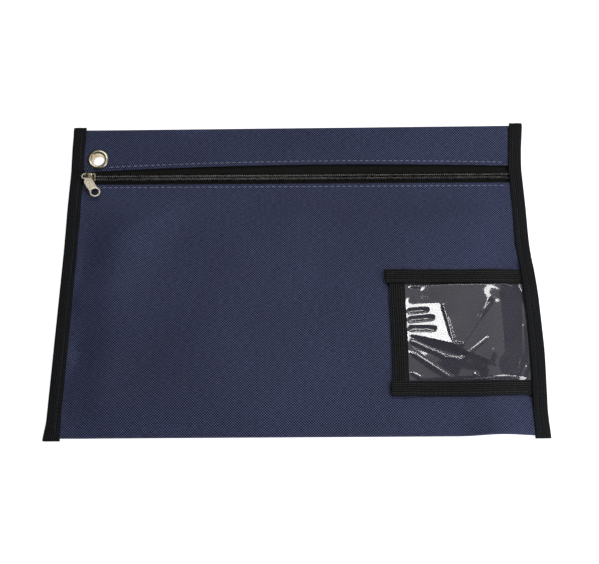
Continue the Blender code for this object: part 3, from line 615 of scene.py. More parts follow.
def tape_finish(name, dark, light, rib, pick, roughness=0.78, depth=0.00018):
    """A woven black tape, with a painted highlight on its yarn crossings; rib and pick are the
    widths of one rib and of one crossing yarn.
    """
    made, tree, shader = finish(name, roughness, specular=0.16)
    uv = coordinates(tree)
    yarns = placed(tree, ribs, Vector=uv, Rib=rib, Pick=pick)
    patches = placed(tree, mottle, Vector=uv, Amount=TAPE_MOTTLE)
    # Painted highlight: the colour goes from dark to light on the raised yarn crossings
    colour = colour_mix(tree, yarns.outputs["Yarn_Highlight"], dark, light)
    dust = math_node(tree, "MULTIPLY", patches.outputs["Dust"], TAPE_DUST)
    colour = colour_mix(tree, dust, colour, DUST_GREY)
    tree.links.new(scaled(tree, colour, patches.outputs["Shade"]), shader.inputs["Base Color"])
    gloss = ramp_node(tree, yarns.outputs["Height"], 0.0, 1.0, roughness + 0.1, roughness - 0.06)
    tree.links.new(gloss, shader.inputs["Roughness"])
    shader.inputs["Sheen Weight"].default_value = TAPE_SHEEN
    bumped(tree, shader, yarns.outputs["Height"], depth, 0.7)
    return made


zip_weave = tape_finish("zip_weave", ZIP_BLACK, ZIP_RIB_HIGHLIGHT, ZIP_RIB, ZIP_PICK)

for node, side in (("zip_tape_upper", 1), ("zip_tape_lower", -1)):
    lowest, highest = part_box(node)
    inner, outer = (lowest.y, highest.y) if side > 0 else (highest.y, lowest.y)
    if side > 0:
        outer = ZIP_Y + ZIP_TAPE_HALF
    rows = []
    for x in steps(lowest.x, highest.x, ZIP_TAPE_STEP):
        row = []
        for y in steps(inner, outer, ZIP_TAPE_STEP_OVER):
            cord = CORD_RISE * math.exp(-(((abs(y - inner) - CORD_IN) / CORD_HALF) ** 2))
            spot = Vector((x * ZIP_TAPE_SCALE, y * ZIP_TAPE_SCALE, side))
            row.append((x, y, highest.z - ZIP_TAPE_LOW + cord + ZIP_TAPE_SWAY * noise.noise(spot)))
        rows.append(row if side < 0 else row[::-1])
    tape = sheet_mesh(f"{node}_cloth", rows, ZIP_TAPE, offset=-1.0)
    tape.data.materials.append(zip_weave)
    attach(tape, "bag")
    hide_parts(node)
    if side > 0:
        upper_tape = tape

# ---------------------------------------------------------------- zip chain
# A size 5 nylon coil: each half is one monofilament wound into flattened loops round a cord and
# sewn to its tape. The loops' heads meet at the middle, half a pitch apart.

COIL_PITCH = 0.00150
COIL_WIRE = 0.00034
BAR_SIDES = 6
COIL_HEAD, COIL_TAIL, COIL_BEND = 0.00015, 0.0028, 0.0004
COIL_LEAN = 0.14
COIL_CROWN, COIL_CROWN_AT, COIL_CROWN_HALF = 0.28, 0.62, 0.14
COIL_CORD, COIL_CORD_OUT = 0.00042, 0.00175
COIL_BLACK = (0.0090, 0.0090, 0.0088)
COIL_DUSTY = (0.09, 0.088, 0.08)
CHAIN_ROW_OUT = 0.0012
CHAIN_DASH = 0.0008
CHAIN_THREAD = 0.00024
CHAIN_THREAD_RISE = 0.00012
# The sewing thread over the loops is real, but its light grey is a painted highlight of the coil
# loops
CHAIN_HIGHLIGHT_GREY, CHAIN_HIGHLIGHT_GREY_LIGHT = (0.16, 0.16, 0.155), (0.48, 0.48, 0.46)


def tube(points, faces, path, radius):
    """Adds a round bar along a path to lists of points and faces, closed at both ends."""
    first = len(points)
    for k, here in enumerate(path):
        back, ahead = path[max(k - 1, 0)], path[min(k + 1, len(path) - 1)]
        along = (Vector(ahead) - Vector(back)).normalized()
        side = along.cross(Vector((0, 0, 1)))
        side = side.normalized() if side.length > 1e-6 else Vector((1, 0, 0))
        up = side.cross(along)
        size = radius(k / (len(path) - 1)) if callable(radius) else radius
        for j in range(BAR_SIDES):
            a = 2 * math.pi * j / BAR_SIDES
            points.append(Vector(here) + size * (math.cos(a) * side + math.sin(a) * up))
    for k in range(len(path) - 1):
        for j in range(BAR_SIDES):
            n = (j + 1) % BAR_SIDES
            a, b = first + k * BAR_SIDES, first + (k + 1) * BAR_SIDES
            faces.append((a + j, a + n, b + n, b + j))
    faces.append(tuple(first + j for j in reversed(range(BAR_SIDES))))
    last = first + (len(path) - 1) * BAR_SIDES
    faces.append(tuple(last + j for j in range(BAR_SIDES)))


def solid_piece(name, points, faces, material):
    """A piece from lists of points and faces, smooth except at its sharp edges."""
    mesh = bpy.data.meshes.new(name)
    mesh.from_pydata([tuple(p) for p in points], [], faces)
    mesh.shade_smooth()
    mesh.set_sharp_from_angle(angle=math.radians(50))
    mesh.materials.append(material)
    made = bpy.data.objects.new(name, mesh)
    bpy.context.collection.objects.link(made)
    return made


coil_nylon, tree, shader = finish("coil_nylon", 0.26, specular=0.9)
uv = coordinates(tree, "Object")
patches = placed(tree, mottle, Vector=uv, Amount=0.5)
colour = colour_mix(tree, patches.outputs["Dust"], COIL_BLACK, COIL_DUSTY)
tree.links.new(colour, shader.inputs["Base Color"])
gloss = ramp_node(tree, noise_node(tree, uv, 420.0), 0.3, 0.7, 0.20, 0.36)
tree.links.new(gloss, shader.inputs["Roughness"])

# The chain thread's light grey, varied by a noise, is a painted highlight of the coil loops
chain_highlight_thread, tree, shader = finish("chain_highlight_thread", 0.5, specular=0.5)
uv = coordinates(tree, "Object")
highlight_noise = ramp_node(tree, noise_node(tree, uv, 160.0), 0.35, 0.65)
colour = colour_mix(tree, highlight_noise, CHAIN_HIGHLIGHT_GREY, CHAIN_HIGHLIGHT_GREY_LIGHT)
tree.links.new(colour, shader.inputs["Base Color"])


def coil_wire(t):
    """Radius of the monofilament along a loop: it is pressed wider at the head."""
    off = (t - COIL_CROWN_AT) / COIL_CROWN_HALF
    return COIL_WIRE * (1.0 + COIL_CROWN * math.exp(-(off**2)))


for node, side in (("zip_coil_upper", 1), ("zip_coil_lower", -1)):
    lowest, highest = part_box(node)
    points, faces = [], []
    low_z, high_z = lowest.z + COIL_WIRE, highest.z - COIL_WIRE
    middle_z = (low_z + high_z) / 2
    head = ZIP_Y + side * COIL_HEAD
    tail = ZIP_Y + side * COIL_TAIL
    bend = tail - side * COIL_BEND
    lean = COIL_LEAN * COIL_PITCH
    count = int((highest.x - lowest.x - 2 * COIL_WIRE) / COIL_PITCH)
    phase = 0.5 if side > 0 else 0.0
    loops_x = [lowest.x + COIL_WIRE * 1.2 + COIL_PITCH * (k + phase) for k in range(count)]
    for x in loops_x:
        path = [
            (x - lean, tail, middle_z),
            (x - lean, bend, high_z - 0.0001),
            (x, mix(tail, head, 0.55), high_z + 0.0001),
            (x, head + side * 0.0003, high_z - 0.00005),
            (x, head - side * 0.0002, middle_z),
            (x, head + side * 0.0003, low_z),
            (x + lean, bend, low_z + 0.00005),
        ]
        tube(points, faces, path, coil_wire)
    cord = [(x, ZIP_Y + side * COIL_CORD_OUT, middle_z) for x in (lowest.x, highest.x)]
    tube(points, faces, cord, COIL_CORD)
    nylon_faces = len(faces)
    # Rows of light grey thread dashes over the loops, painted highlights of the loops
    row_y, row_z = ZIP_Y + side * CHAIN_ROW_OUT, high_z + COIL_WIRE + CHAIN_THREAD_RISE
    for x in loops_x:
        dash = [(x + t * CHAIN_DASH, row_y, row_z - 0.0001 * abs(t)) for t in (-0.5, 0.0, 0.5)]
        tube(points, faces, dash, CHAIN_THREAD)
    coil = solid_piece(f"{node}_loops", points, faces, coil_nylon)
    coil.data.materials.append(chain_highlight_thread)
    for face in coil.data.polygons[nylon_faces:]:
        face.material_index = 1
    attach(coil, "bag")
    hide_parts(node)

# ---------------------------------------------------------------- slider and puller
# A nickel-plated zinc slider with an arched bridge, and its cast puller: an eye round the bridge,
# a sunk panel down the middle, and a loop at the end. The plating is tarnished warm in patches.

NICKEL = (0.43, 0.38, 0.28)
NICKEL_WARM = (0.27, 0.21, 0.12)
NICKEL_PALE = (0.46, 0.42, 0.34)
SLIDER_EDGE, PULLER_EDGE = 0.00022, 0.00024
SCRATCH_STRETCH = 6.0
SCRATCH_SCALE = 500.0
SCRATCH_DEPTH = 0.00001
TARNISH_SCALE = 150.0
WELD = 0.000004

# Plating: fine scratches, and tarnish that gathers in patches
plating, plating_in, plating_out = group(
    "plating",
    [("Vector", "NodeSocketVector", None), ("Grain", "NodeSocketFloat", 900.0)],
    [("Tarnish", "NodeSocketFloat"), ("Scratch", "NodeSocketFloat")],
)
drawn = stretched(plating, plating_in.outputs["Vector"], SCRATCH_STRETCH)
fine = noise_node(plating, drawn, plating_in.outputs["Grain"], 3.0)
plating.links.new(ramp_node(plating, fine, 0.35, 0.7), plating_out.inputs["Scratch"])
blotch = noise_node(plating, plating_in.outputs["Vector"], TARNISH_SCALE, 1.0)
plating.links.new(ramp_node(plating, blotch, 0.42, 0.68), plating_out.inputs["Tarnish"])


def plated(name, base, warm, rough):
    """Nickel plating of a base colour, tarnished to a warmer one in patches."""
    made, tree, shader = finish(name, rough, metallic=1.0)
    where = coordinates(tree, "Object")
    wear = placed(tree, plating, Vector=where, Grain=SCRATCH_SCALE)
    colour = colour_mix(tree, wear.outputs["Tarnish"], base, warm)
    tree.links.new(colour, shader.inputs["Base Color"])
    gloss = ramp_node(tree, wear.outputs["Scratch"], 0.0, 1.0, rough - 0.05, rough + 0.08)
    tree.links.new(gloss, shader.inputs["Roughness"])
    bumped(tree, shader, wear.outputs["Scratch"], SCRATCH_DEPTH, 0.04)
    return made


slider_nickel = plated("slider_nickel", NICKEL, NICKEL_WARM, 0.24)
puller_nickel = plated("puller_nickel", NICKEL_PALE, NICKEL, 0.30)


def softened(node, name, material, edge):
    """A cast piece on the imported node's shape, with its sharp edges rounded."""
    bm = bmesh.new()
    bm.from_mesh(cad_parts[node].data)
    bmesh.ops.remove_doubles(bm, verts=bm.verts, dist=WELD)
    flat = math.radians(2)
    bmesh.ops.dissolve_limit(bm, angle_limit=flat, verts=bm.verts, edges=bm.edges)
    mesh = bpy.data.meshes.new(name)
    bm.to_mesh(mesh)
    bm.free()
    mesh.shade_smooth()
    mesh.materials.append(material)
    made = bpy.data.objects.new(name, mesh)
    bpy.context.collection.objects.link(made)
    bevel = made.modifiers.new("cast_edge", "BEVEL")
    bevel.width = edge
    bevel.segments = 2
    bevel.limit_method = "ANGLE"
    bevel.angle_limit = math.radians(32)
    made.modifiers.new("shading", "WEIGHTED_NORMAL")
    return made


for node, name, material, edge, body_name in (
    ("slider_body", "slider_casting", slider_nickel, SLIDER_EDGE, "slider"),
    ("puller", "puller_casting", puller_nickel, PULLER_EDGE, "puller"),
):
    casting = softened(node, name, material, edge)
    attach(casting, body_name)
    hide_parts(node)

# ---------------------------------------------------------------- eyelet
# A nickel-plated brass eyelet: a domed flange on the header, its barrel through all the cloth, and
# a washer that the barrel's end is rolled over at the back.

EYELET_HOLE = 0.00425
EYELET_METAL = 0.0004
EYELET_TILT = math.radians(10)
EYELET_TURN = 72
EYELET_FLARE, EYELET_FLARE_DEPTH = 0.0008, 0.0024
EYELET_CORNER = 0.0002
EYELET_UP = 0.0003
DOME_FOOT, DOME_RISE, DOME_PARTS = 0.00060, 0.0008, 12
ROLL_OUT = 0.0008
BRASS_NICKEL, BRASS_WARM = (0.66, 0.60, 0.46), (0.44, 0.33, 0.16)

seat_z = HEM_TOP + HEADER_SLOPE * (EYELET_Y - HEM_LOW)
seat = Matrix.Translation((EYELET_X, pulled_in(EYELET_X, EYELET_Y), seat_z))
seat = seat @ Matrix.Rotation(EYELET_TILT, 4, "X")
eyelet_nickel = plated("eyelet_nickel", BRASS_NICKEL, BRASS_WARM, 0.30)


def pierced(cloth):
    """Opens the hole that the barrel goes through, inside the cover of the flange and washer."""
    bm = bmesh.new()
    bm.from_mesh(cloth.data)
    into = seat.inverted()
    opening = EYELET_HOLE + EYELET_METAL + EYELET_CORNER
    inside = {v for v in bm.verts if (into @ v.co).xy.length < opening}
    gone = [f for f in bm.faces if any(v in inside for v in f.verts)]
    bmesh.ops.delete(bm, geom=gone, context="FACES")
    bm.to_mesh(cloth.data)
    bm.free()


for cloth in (body, upper_tape):
    pierced(cloth)


def turned(name, profile, material):
    """A ring turned from a closed profile of (radius, height over the header)."""
    points, faces = [], []
    for k in range(EYELET_TURN):
        a = 2 * math.pi * k / EYELET_TURN
        points += [seat @ Vector((r * math.cos(a), r * math.sin(a), h)) for r, h in profile]
    size = len(profile)
    for k in range(EYELET_TURN):
        here, after = k * size, (k + 1) % EYELET_TURN * size
        for j in range(size):
            n = (j + 1) % size
            faces.append((here + j, after + j, after + n, here + n))
    return solid_piece(name, points, faces, material)


washer_top = (EYELET_BACK_LIFT - seat_z) * math.cos(EYELET_TILT) - EYELET_UP
roll = washer_top - 2 * EYELET_METAL - EYELET_UP
crown = (EYELET_HOLE + EYELET_FLARE + EYELET_RADIUS) / 2
dome = []
for k in range(DOME_PARTS + 1):
    a = math.radians(mix(0, 180, k / DOME_PARTS))
    out = crown + (EYELET_RADIUS - crown) * math.cos(a)
    dome.append((out, DOME_FOOT + DOME_RISE * math.sin(a)))
barrel = EYELET_HOLE + EYELET_METAL
flange = [
    (barrel + EYELET_FLARE, EYELET_UP),
    (EYELET_RADIUS - EYELET_CORNER, EYELET_UP),
    *dome,
    (EYELET_HOLE + 0.6 * EYELET_FLARE, -0.0004),
    (EYELET_HOLE + 0.3 * EYELET_FLARE, -0.0014),
    (EYELET_HOLE, -EYELET_FLARE_DEPTH),
    (EYELET_HOLE, roll + EYELET_CORNER),
    (EYELET_HOLE + EYELET_CORNER, roll),
    (barrel + ROLL_OUT, roll),
    (barrel + ROLL_OUT + EYELET_CORNER, roll + EYELET_CORNER),
    (barrel + ROLL_OUT, roll + EYELET_METAL),
    (barrel, roll + EYELET_METAL),
    (barrel, -EYELET_FLARE_DEPTH),
]
ring = turned("eyelet_flange", flange, eyelet_nickel)
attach(ring, "bag")
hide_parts("eyelet")

washer_radius = (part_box("eyelet_washer")[1].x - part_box("eyelet_washer")[0].x) / 2
washer_low = washer_top - EYELET_METAL
washer = [
    (barrel + EYELET_UP, washer_low),
    (washer_radius - EYELET_CORNER, washer_low),
    (washer_radius, washer_low + EYELET_CORNER),
    (washer_radius - EYELET_CORNER, washer_top),
    (barrel + EYELET_UP, washer_top),
]
backing = turned("eyelet_backing", washer, eyelet_nickel)
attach(backing, "bag")
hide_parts("eyelet_washer")

# ---------------------------------------------------------------- label window
# A pane of soft clear vinyl that holds a card, sewn down under its tapes and the right binding. It
# has been folded and handled, so it stands off the cloth in a shallow arch with sharp ridges.

FILM = 0.0003
FILM_LAYER = 0.0003
FILM_RISE = 0.0054
FILM_LEFT_RAMP = 0.029
FILM_RAMP = 0.020
FILM_STEP = 0.0007
FILM_UNDER_TAPE = 0.006
FILM_SLACK = 2.1
FILM_SLACK_AT, FILM_SLACK_SLOPE, FILM_SLACK_BAND = 0.60, 0.40, 0.09
FILM_DROOP_LEFT, FILM_DROOP_RIGHT = 0.40, 0.24
FILM_DROOP_AT, FILM_DROOP_BAND = 0.30, 0.12
FILM_CORNER = 0.55
FILM_CORNER_DOWN, FILM_CORNER_DOWN_BAND = 0.22, 0.14
FILM_CORNER_IN, FILM_CORNER_IN_BAND = 0.28, 0.18
FILM_FADE = 0.04
FILM_SEWN = 0.03
FILM_SWAY, FILM_SWAY_SCALE = 0.0004, 30
FILM_CRINKLE, FILM_CRINKLE_SCALE = 0.00003, 120
VINYL_GREY, VINYL_GREY_LIGHT = (0.085, 0.080, 0.102), (0.170, 0.162, 0.200)
VINYL_COAT_IOR = 2.1
WINDOW_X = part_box("window_tape_left")[0].x
WINDOW_IN_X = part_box("window_tape_left")[1].x
WINDOW_Y, FILM_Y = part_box("window_tape_bottom")[0].y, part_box("window_tape_bottom")[1].y
FILM_TOP, WINDOW_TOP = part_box("window_tape_top")[0].y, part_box("window_tape_top")[1].y

# Ridges: both ends as shares of the pane from its upper left corner, half width and height in mm
RIDGES = (
    (0.30, 0.26, 0.37, 0.66, 1.2, 0.62),
    (0.37, 0.66, 0.43, 0.66, 1.2, 0.62),
    (0.43, 0.66, 0.69, 0.22, 1.2, 0.62),
    (0.60, 0.36, 0.69, 0.22, 2.0, 0.45),
    (0.00, 0.58, 0.30, 0.77, 1.2, 0.60),
    (0.30, 0.77, 0.42, 0.80, 1.2, 0.60),
    (0.42, 0.80, 0.63, 0.60, 1.2, 0.55),
    (0.00, 0.69, 0.36, 1.00, 1.2, 0.60),
    (0.66, 0.73, 0.60, 0.92, 2.8, 0.55),
    (0.00, 0.29, 0.16, 0.29, 1.5, -0.75),
    (0.00, 0.38, 0.20, 0.375, 1.6, -0.80),
    (0.00, 0.47, 0.21, 0.49, 1.5, -0.75),
    (0.78, 0.00, 0.99, 0.16, 3.6, 1.00),
    (0.90, 0.78, 0.86, 0.98, 1.2, 0.55),
    (0.97, 0.86, 0.92, 0.99, 1.2, 0.55),
    (0.00, 0.90, 0.10, 0.97, 1.3, 0.60),
    (0.05, 0.02, 0.12, 0.03, 1.2, 0.55),
    (0.97, 0.45, 0.95, 0.76, 1.2, 0.45),
    (0.53, 0.94, 0.56, 1.00, 1.0, 0.50),
)


def film_height(x, y):
    """How far the film stands off the cloth between its tapes."""
    wide, tall = BINDING_IN - WINDOW_IN_X, FILM_TOP - FILM_Y
    u, v = (x - WINDOW_IN_X) / wide, (FILM_TOP - y) / tall
    if not (0 < u < 1 and 0 < v < 1):
        return 0.0
    ends = ease((y - FILM_Y) / FILM_RAMP) * ease((FILM_TOP - y) / FILM_RAMP)
    steady = ease((FILM_SLACK_AT + FILM_SLACK_SLOPE * u - v) / FILM_SLACK_BAND)
    left_ramp = FILM_LEFT_RAMP * mix(FILM_SLACK, 1.0, steady)
    left = min(max((x - WINDOW_IN_X) / left_ramp, 0.0), 1.0)
    sides = ease((BINDING_IN - x) / FILM_RAMP) * left
    droop = mix(FILM_DROOP_LEFT, FILM_DROOP_RIGHT, ease((u - FILM_DROOP_AT) / FILM_DROOP_BAND))
    corner = ease((FILM_CORNER_DOWN - v) / FILM_CORNER_DOWN_BAND)
    corner *= ease((FILM_CORNER_IN - u) / FILM_CORNER_IN_BAND)
    height = FILM_RISE * sides * (1 - droop + droop * ends) * (1 - FILM_CORNER * corner)
    height *= ease(v / FILM_SEWN) * ease((1 - v) / FILM_SEWN)
    inside = ease(u / FILM_FADE) * ease((1 - u) / FILM_FADE)
    inside *= ease(v / FILM_FADE) * ease((1 - v) / FILM_FADE)
    rough = FILM_SWAY * noise.noise(Vector((x * FILM_SWAY_SCALE, y * FILM_SWAY_SCALE, 9.0)))
    spot = Vector((x * FILM_CRINKLE_SCALE, y * FILM_CRINKLE_SCALE, 2.0))
    rough += FILM_CRINKLE * noise.noise(spot)
    px, py = u * wide, v * tall
    for u0, v0, u1, v1, width, high in RIDGES:
        ax, ay, bx, by = u0 * wide, v0 * tall, u1 * wide, v1 * tall
        t = ((px - ax) * (bx - ax) + (py - ay) * (by - ay)) / ((bx - ax) ** 2 + (by - ay) ** 2)
        t = min(max(t, 0.0), 1.0)
        away = math.hypot(px - mix(ax, bx, t), py - mix(ay, by, t))
        taper = 0.5 + 0.5 * ease(4 * min(t, 1 - t) + 0.4)
        rough += 0.001 * high * math.exp(-((away / (0.001 * width)) ** 2)) * taper
    return height + rough * inside


rows = []
across_pane = steps(WINDOW_IN_X - FILM_UNDER_TAPE, CLOTH_EDGE, FILM_STEP)
for y in steps(FILM_Y - FILM_UNDER_TAPE, FILM_TOP + FILM_UNDER_TAPE, FILM_STEP):
    low = [front_top(x, y) + FILM_LAYER + FILM for x in across_pane]
    rows.append([(x, y, z + max(film_height(x, y), 0.0)) for x, z in zip(across_pane, low)])
pane = sheet_mesh("window_pane", rows, FILM, offset=-1.0)
vinyl, tree, shader = finish("clear_vinyl", 0.07, specular=1.0)
where = coordinates(tree, "Object")
haze = ramp_node(tree, noise_node(tree, where, 55.0, 3.0), 0.35, 0.75, 0.42, 0.56)
smear = ramp_node(tree, noise_node(tree, where, 320.0, 4.0, 0.7), 0.60, 0.80, 0.0, 0.16)
tree.links.new(math_node(tree, "ADD", haze, smear), shader.inputs["Alpha"])
tree.links.new(colour_mix(tree, haze, VINYL_GREY, VINYL_GREY_LIGHT), shader.inputs["Base Color"])
gloss = ramp_node(tree, noise_node(tree, where, 90.0, 3.0), 0.3, 0.7, 0.04, 0.13)
tree.links.new(gloss, shader.inputs["Roughness"])
shader.inputs["Coat Weight"].default_value = 1.0
shader.inputs["Coat IOR"].default_value = VINYL_COAT_IOR
shader.inputs["Coat Roughness"].default_value = 0.05
pane.data.materials.append(vinyl)
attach(pane, "bag")
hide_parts("window_film")

# ---------------------------------------------------------------- window tapes
# Black grosgrain tape round the pane: the upright piece first, then the top and bottom pieces over
# its ends, cut off square. Two rows of stitches pull each one down.

TAPE = 0.0005
TAPE_LAYER = 0.0009
CROSS_LAYER = 0.0017
TAPE_BLACK = (0.0030, 0.0030, 0.0034)
# The lighter colour is a painted highlight on the tape's rib crossings
TAPE_RIB_HIGHLIGHT = (0.0650, 0.0670, 0.0690)
TAPE_ROWS_IN = 0.0022
TAPE_RIB, TAPE_PICK, TAPE_RELIEF = 0.0016, 0.0009, 0.0003
TAPE_STEP, TAPE_STEP_OVER = 0.0015, 0.0007
TAPE_WOBBLE = 0.0003
TAPE_DENT, TAPE_DENT_HALF = 0.00022, 0.0007
CROSS_FROM, CROSS_RUN = 0.001, 0.011

grosgrain = tape_finish(
    "window_grosgrain", TAPE_BLACK, TAPE_RIB_HIGHLIGHT, TAPE_RIB, TAPE_PICK, 0.72, TAPE_RELIEF
)


def tape_top(x, y, cross):
    """Top of a window tape; a cross piece steps down off the end of the upright one."""
    layer = TAPE_LAYER
    if cross:
        layer = mix(CROSS_LAYER, TAPE_LAYER, ease((x - WINDOW_IN_X - CROSS_FROM) / CROSS_RUN))
    return front_top(x, y) + layer + TAPE


def dent(across_tape, width):
    """How deep the stitching pulls a tape in, from the distance over its width."""
    pull = 0.0
    for row in (TAPE_ROWS_IN, width - TAPE_ROWS_IN):
        pull += math.exp(-(((across_tape - row) / TAPE_DENT_HALF) ** 2))
    return TAPE_DENT * pull


def wobble(along, beside):
    """How far a tape's edges wander from straight."""
    return TAPE_WOBBLE * noise.noise(Vector((along * 90, beside * 50, 1.0)))


for node in ("window_tape_left", "window_tape_top", "window_tape_bottom"):
    cross = node != "window_tape_left"
    lowest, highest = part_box(node)
    rows = []
    if cross:
        width, long = highest.y - lowest.y, highest.x - lowest.x
        for x in steps(lowest.x, highest.x, TAPE_STEP):
            off, row = wobble(x, lowest.y), []
            for s in steps(0, width, TAPE_STEP_OVER):
                z = tape_top(x, lowest.y + s, True) - dent(s, width)
                row.append((x, lowest.y + s + off, z))
            rows.append(row)
    else:
        width, long = highest.x - lowest.x, highest.y - lowest.y
        for y in steps(lowest.y, highest.y, TAPE_STEP):
            off, row = wobble(y, lowest.x), []
            for s in steps(0, width, TAPE_STEP_OVER):
                z = tape_top(lowest.x + s, y, False) - dent(s, width)
                row.append((lowest.x + s + off, y, z))
            rows.append(row[::-1])
    tape = sheet_mesh(f"{node}_grosgrain", rows, TAPE)
    tape.data.materials.append(grosgrain)
    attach(tape, "bag")
    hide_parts(node)

# ---------------------------------------------------------------- side bindings
# A black woven tape, about 22 mm wide, folded in half over each side of the bag and sewn through.
# Its ends stand past both folds, heat-cut, and the lower left one has spread.

BINDING_GAP = 0.0003
FLOOR_GAP = 0.0001
WINDOW_MARGIN, WINDOW_STEP = 0.001, 0.008
BINDING_ROW_IN = 0.0033
BINDING_BLACK = (0.0085, 0.0090, 0.0103)
# The lighter colour is a painted highlight on the binding's rib crossings
BINDING_RIB_HIGHLIGHT = (0.0410, 0.0435, 0.0480)
BINDING_RIB, BINDING_PICK, BINDING_RELIEF = 0.0014, 0.0008, 0.00022
BINDING_PAST_FOLD = 0.0015
BINDING_STEP, BINDING_UNDER_STEP, BINDING_OVER_STEP = 0.0015, 0.0016, 0.0007
BINDING_TURN = 8
BINDING_WALL = 0.8
BINDING_SWAY = 0.00035
BINDING_DENT, BINDING_DENT_HALF = 0.00028, 0.0008
BINDING_SWELL = 0.00025
END_SPREAD, END_SPREAD_FROM, END_SPREAD_RUN = 0.0014, 0.014, 0.016
RIGHT_SPREAD = 0.25

binding_weave = tape_finish(
    "binding_weave",
    BINDING_BLACK,
    BINDING_RIB_HIGHLIGHT,
    BINDING_RIB,
    BINDING_PICK,
    0.80,
    BINDING_RELIEF,
)


def stack_top(x, y):
    """Top of everything that a side binding closes over."""
    if y > ZIP_Y:
        return header_top(x, y)
    if x < 0:
        return front_top(x, y)
    half = (WINDOW_TOP - WINDOW_Y) / 2 + WINDOW_MARGIN
    window = near(y, (WINDOW_Y + WINDOW_TOP) / 2, half, WINDOW_STEP)
    return front_top(x, y) + (TAPE_LAYER + TAPE) * window


def held_at(y):
    """The binding's ends stand past the folds and lie level with them."""
    return min(max(y, -HALF_H + FOLD_MIDDLE), HALF_H - FOLD_MIDDLE)


binding_end = HALF_H + BINDING_PAST_FOLD
for node, side in (("left_binding", -1), ("right_binding", 1)):
    rows = []
    for y in steps(-binding_end, binding_end, BINDING_STEP):
        held = held_at(y)
        spread = END_SPREAD * ease((-HALF_H + END_SPREAD_FROM - y) / END_SPREAD_RUN)
        turn = HALF_W - CLOTH_EDGE + spread * (1.0 if side < 0 else RIGHT_SPREAD)
        sway = BINDING_SWAY * noise.noise(Vector((y * 55, side * 3.0, 5.0)))
        under = back_under(side * CLOTH_EDGE, held) - BINDING_GAP
        over = [stack_top(side * px, held) + BINDING_GAP for px in (CLOTH_EDGE, BINDING_IN)]
        row = []
        for px in steps(BINDING_IN, CLOTH_EDGE, BINDING_UNDER_STEP):
            row.append((side * px, max(under - TAPE, FLOOR_GAP)))
        middle, half = (under + over[0]) / 2, (over[0] - under) / 2
        for k in range(1, BINDING_TURN):
            a = math.radians(mix(-90, 90, k / BINDING_TURN))
            px = CLOTH_EDGE + turn * math.cos(a)
            row.append((side * px, middle + (half + TAPE) * math.sin(a)))
        for px in steps(CLOTH_EDGE, BINDING_IN + sway, BINDING_OVER_STEP):
            t = (CLOTH_EDGE - px) / (CLOTH_EDGE - BINDING_IN)
            off = (px - BINDING_IN - BINDING_ROW_IN) / BINDING_DENT_HALF
            row_dent = BINDING_DENT * math.exp(-(off**2))
            swell = BINDING_SWELL * math.sin(math.pi * min(max(t, 0), 1))
            row.append((side * px, mix(over[0], over[1], t) + TAPE - row_dent + swell))
        rows.append([(px, pulled_in(px, y), pz) for px, pz in row])
    if side < 0:
        rows = [row[::-1] for row in rows]
    binding = sheet_mesh(f"{node}_tape", rows, TAPE * BINDING_WALL)
    binding.data.materials.append(binding_weave)
    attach(binding, "bag")
    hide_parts(node)

# ---------------------------------------------------------------- sewing
# Lockstitch rows: grey-blue thread along the two hems at the zip, black thread in the tapes. Each
# stitch is a short length of thread that rises out of one needle hole and dives into the next.

HEM_STITCH = 0.0045
HEM_DASH = 0.0027
HEM_ROW_IN = 0.0028
TAPE_STITCH = 0.0029
TAPE_DASH = 0.0022
THREAD = 0.00021
HEM_THREAD = 0.00028
THREAD_GREY, THREAD_GREY_LIGHT = (0.260, 0.290, 0.440), (0.42, 0.46, 0.62)
THREAD_BLACK, THREAD_BLACK_LIGHT = (0.020, 0.021, 0.024), (0.055, 0.056, 0.062)
THREAD_TWIST, THREAD_TWIST_DEPTH = 1500.0, 0.00005
ROW_END, SHORT_ROW_END = 0.001, 0.0005
STITCH_RISE, STITCH_DIVE = 0.00020, 0.00034
STITCH_SHIFT = 0.10
ROW_DEPTH = 0.00020
ROW_ABOVE = 0.00002
EYELET_CLEAR = 0.0014


def thread_finish(name, colour, lighter):
    """Spun sewing thread; its twist shows as lighter strands."""
    made, tree, shader = finish(name, 0.62, specular=0.4)
    where = coordinates(tree, "Object")
    twist = ramp_node(tree, noise_node(tree, where, THREAD_TWIST, 1.0), 0.35, 0.65)
    tree.links.new(colour_mix(tree, twist, colour, lighter), shader.inputs["Base Color"])
    bumped(tree, shader, twist, THREAD_TWIST_DEPTH, 0.6)
    return made


grey_thread = thread_finish("grey_thread", THREAD_GREY, THREAD_GREY_LIGHT)
black_thread = thread_finish("black_thread", THREAD_BLACK, THREAD_BLACK_LIGHT)
# Each kind of row: pitch, length and radius of its stitches, its thread and its slot
HEM_SEWING = (HEM_STITCH, HEM_DASH, HEM_THREAD, grey_thread, "grey_thread")
TAPE_SEWING = (TAPE_STITCH, TAPE_DASH, THREAD, black_thread, "black_thread")


def sewn_row(name, node, start, end, place, sewing, clear=(0, 0)):
    """A row of stitches: place(s) gives a point on the cloth at s, from start to end."""
    pitch, dash, thread, material, slot = sewing
    points, faces = [], []
    for k in range(int((end - start) / pitch)):
        shift = STITCH_SHIFT * noise.noise(Vector((k * 1.7, start * 90, 3.0)))
        middle = start + pitch * (k + 0.5 + shift)
        if clear[0] < middle < clear[1]:
            continue
        path = []
        for j in range(7):
            t = mix(-1, 1, j / 6)
            x, y, z = place(middle + t * dash / 2)
            path.append(bowed((x, y, z + STITCH_RISE - STITCH_DIVE * abs(t) ** 3)))
        tube(points, faces, path, lambda t: thread * (0.75 + 0.35 * math.sin(math.pi * t)))
    row = solid_piece(name, points, faces, material)
    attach(row, "bag")
    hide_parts(node)


def on_front(x):
    """A place on the row along the front's hem."""
    y = FRONT_EDGE - HEM_ROW_IN
    return (x, y, front_top(x, y))


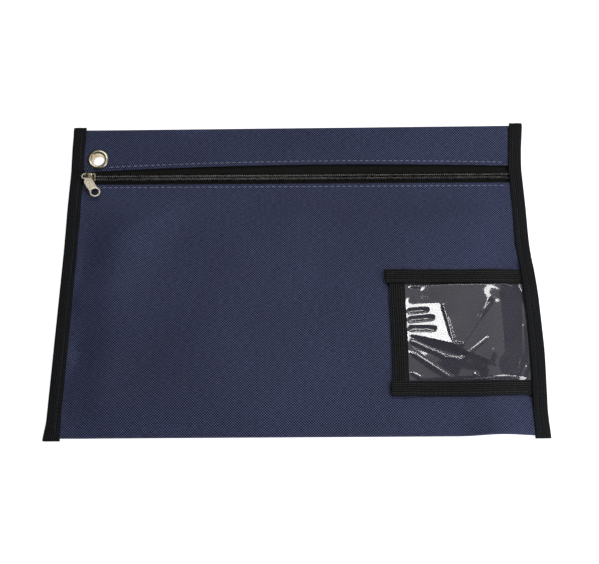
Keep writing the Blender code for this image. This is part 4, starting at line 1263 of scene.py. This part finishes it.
def on_header(x):
    """A place on the row along the header's hem, which follows the hem's bow."""
    y = header_edge(x) + HEM_ROW_IN
    return (x, pulled_in(x, y), header_top(x, y))


hem_end = BINDING_IN - ROW_END
sewn_row("lower_hem_sewing", "zip_stitch_lower", -hem_end, hem_end, on_front, HEM_SEWING)
eyelet_cover = (EYELET_X - EYELET_RADIUS - EYELET_CLEAR, EYELET_X + EYELET_RADIUS + EYELET_CLEAR)
sewn_row(
    "upper_hem_sewing", "zip_stitch_upper", -hem_end, hem_end, on_header, HEM_SEWING, eyelet_cover
)

for node, side in (("left_binding_stitch", -1), ("right_binding_stitch", 1)):
    row_x = side * (BINDING_IN + BINDING_ROW_IN)

    def on_binding(y, row_x=row_x, side=side):
        held = held_at(y)
        t = (CLOTH_EDGE - abs(row_x)) / (CLOTH_EDGE - BINDING_IN)
        z = mix(stack_top(side * CLOTH_EDGE, held), stack_top(side * BINDING_IN, held), t)
        return (row_x, pulled_in(row_x, y), z + BINDING_GAP + TAPE + ROW_ABOVE)

    row_end = HALF_H - ROW_END
    sewn_row(f"{node}_sewing", node, -row_end, row_end, on_binding, TAPE_SEWING)

for part in ("top", "bottom"):
    lowest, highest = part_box(f"window_tape_{part}")
    for label, y in (("lower", lowest.y + TAPE_ROWS_IN), ("upper", highest.y - TAPE_ROWS_IN)):
        node = f"window_{part}_stitch_{label}"
        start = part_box(node)[0].x

        def on_cross_tape(x, y=y):
            return (x, y, tape_top(x, y, True) - ROW_DEPTH)

        sewn_row(f"{node}_sewing", node, start, hem_end, on_cross_tape, TAPE_SEWING)

for label, x in (("outer", WINDOW_X + TAPE_ROWS_IN), ("inner", WINDOW_IN_X - TAPE_ROWS_IN)):
    node = f"window_left_stitch_{label}"

    def on_upright_tape(y, x=x):
        return (x, y, tape_top(x, y, False) - ROW_DEPTH)

    start, end = FILM_Y + SHORT_ROW_END, FILM_TOP - SHORT_ROW_END
    sewn_row(f"{node}_sewing", node, start, end, on_upright_tape, TAPE_SEWING)
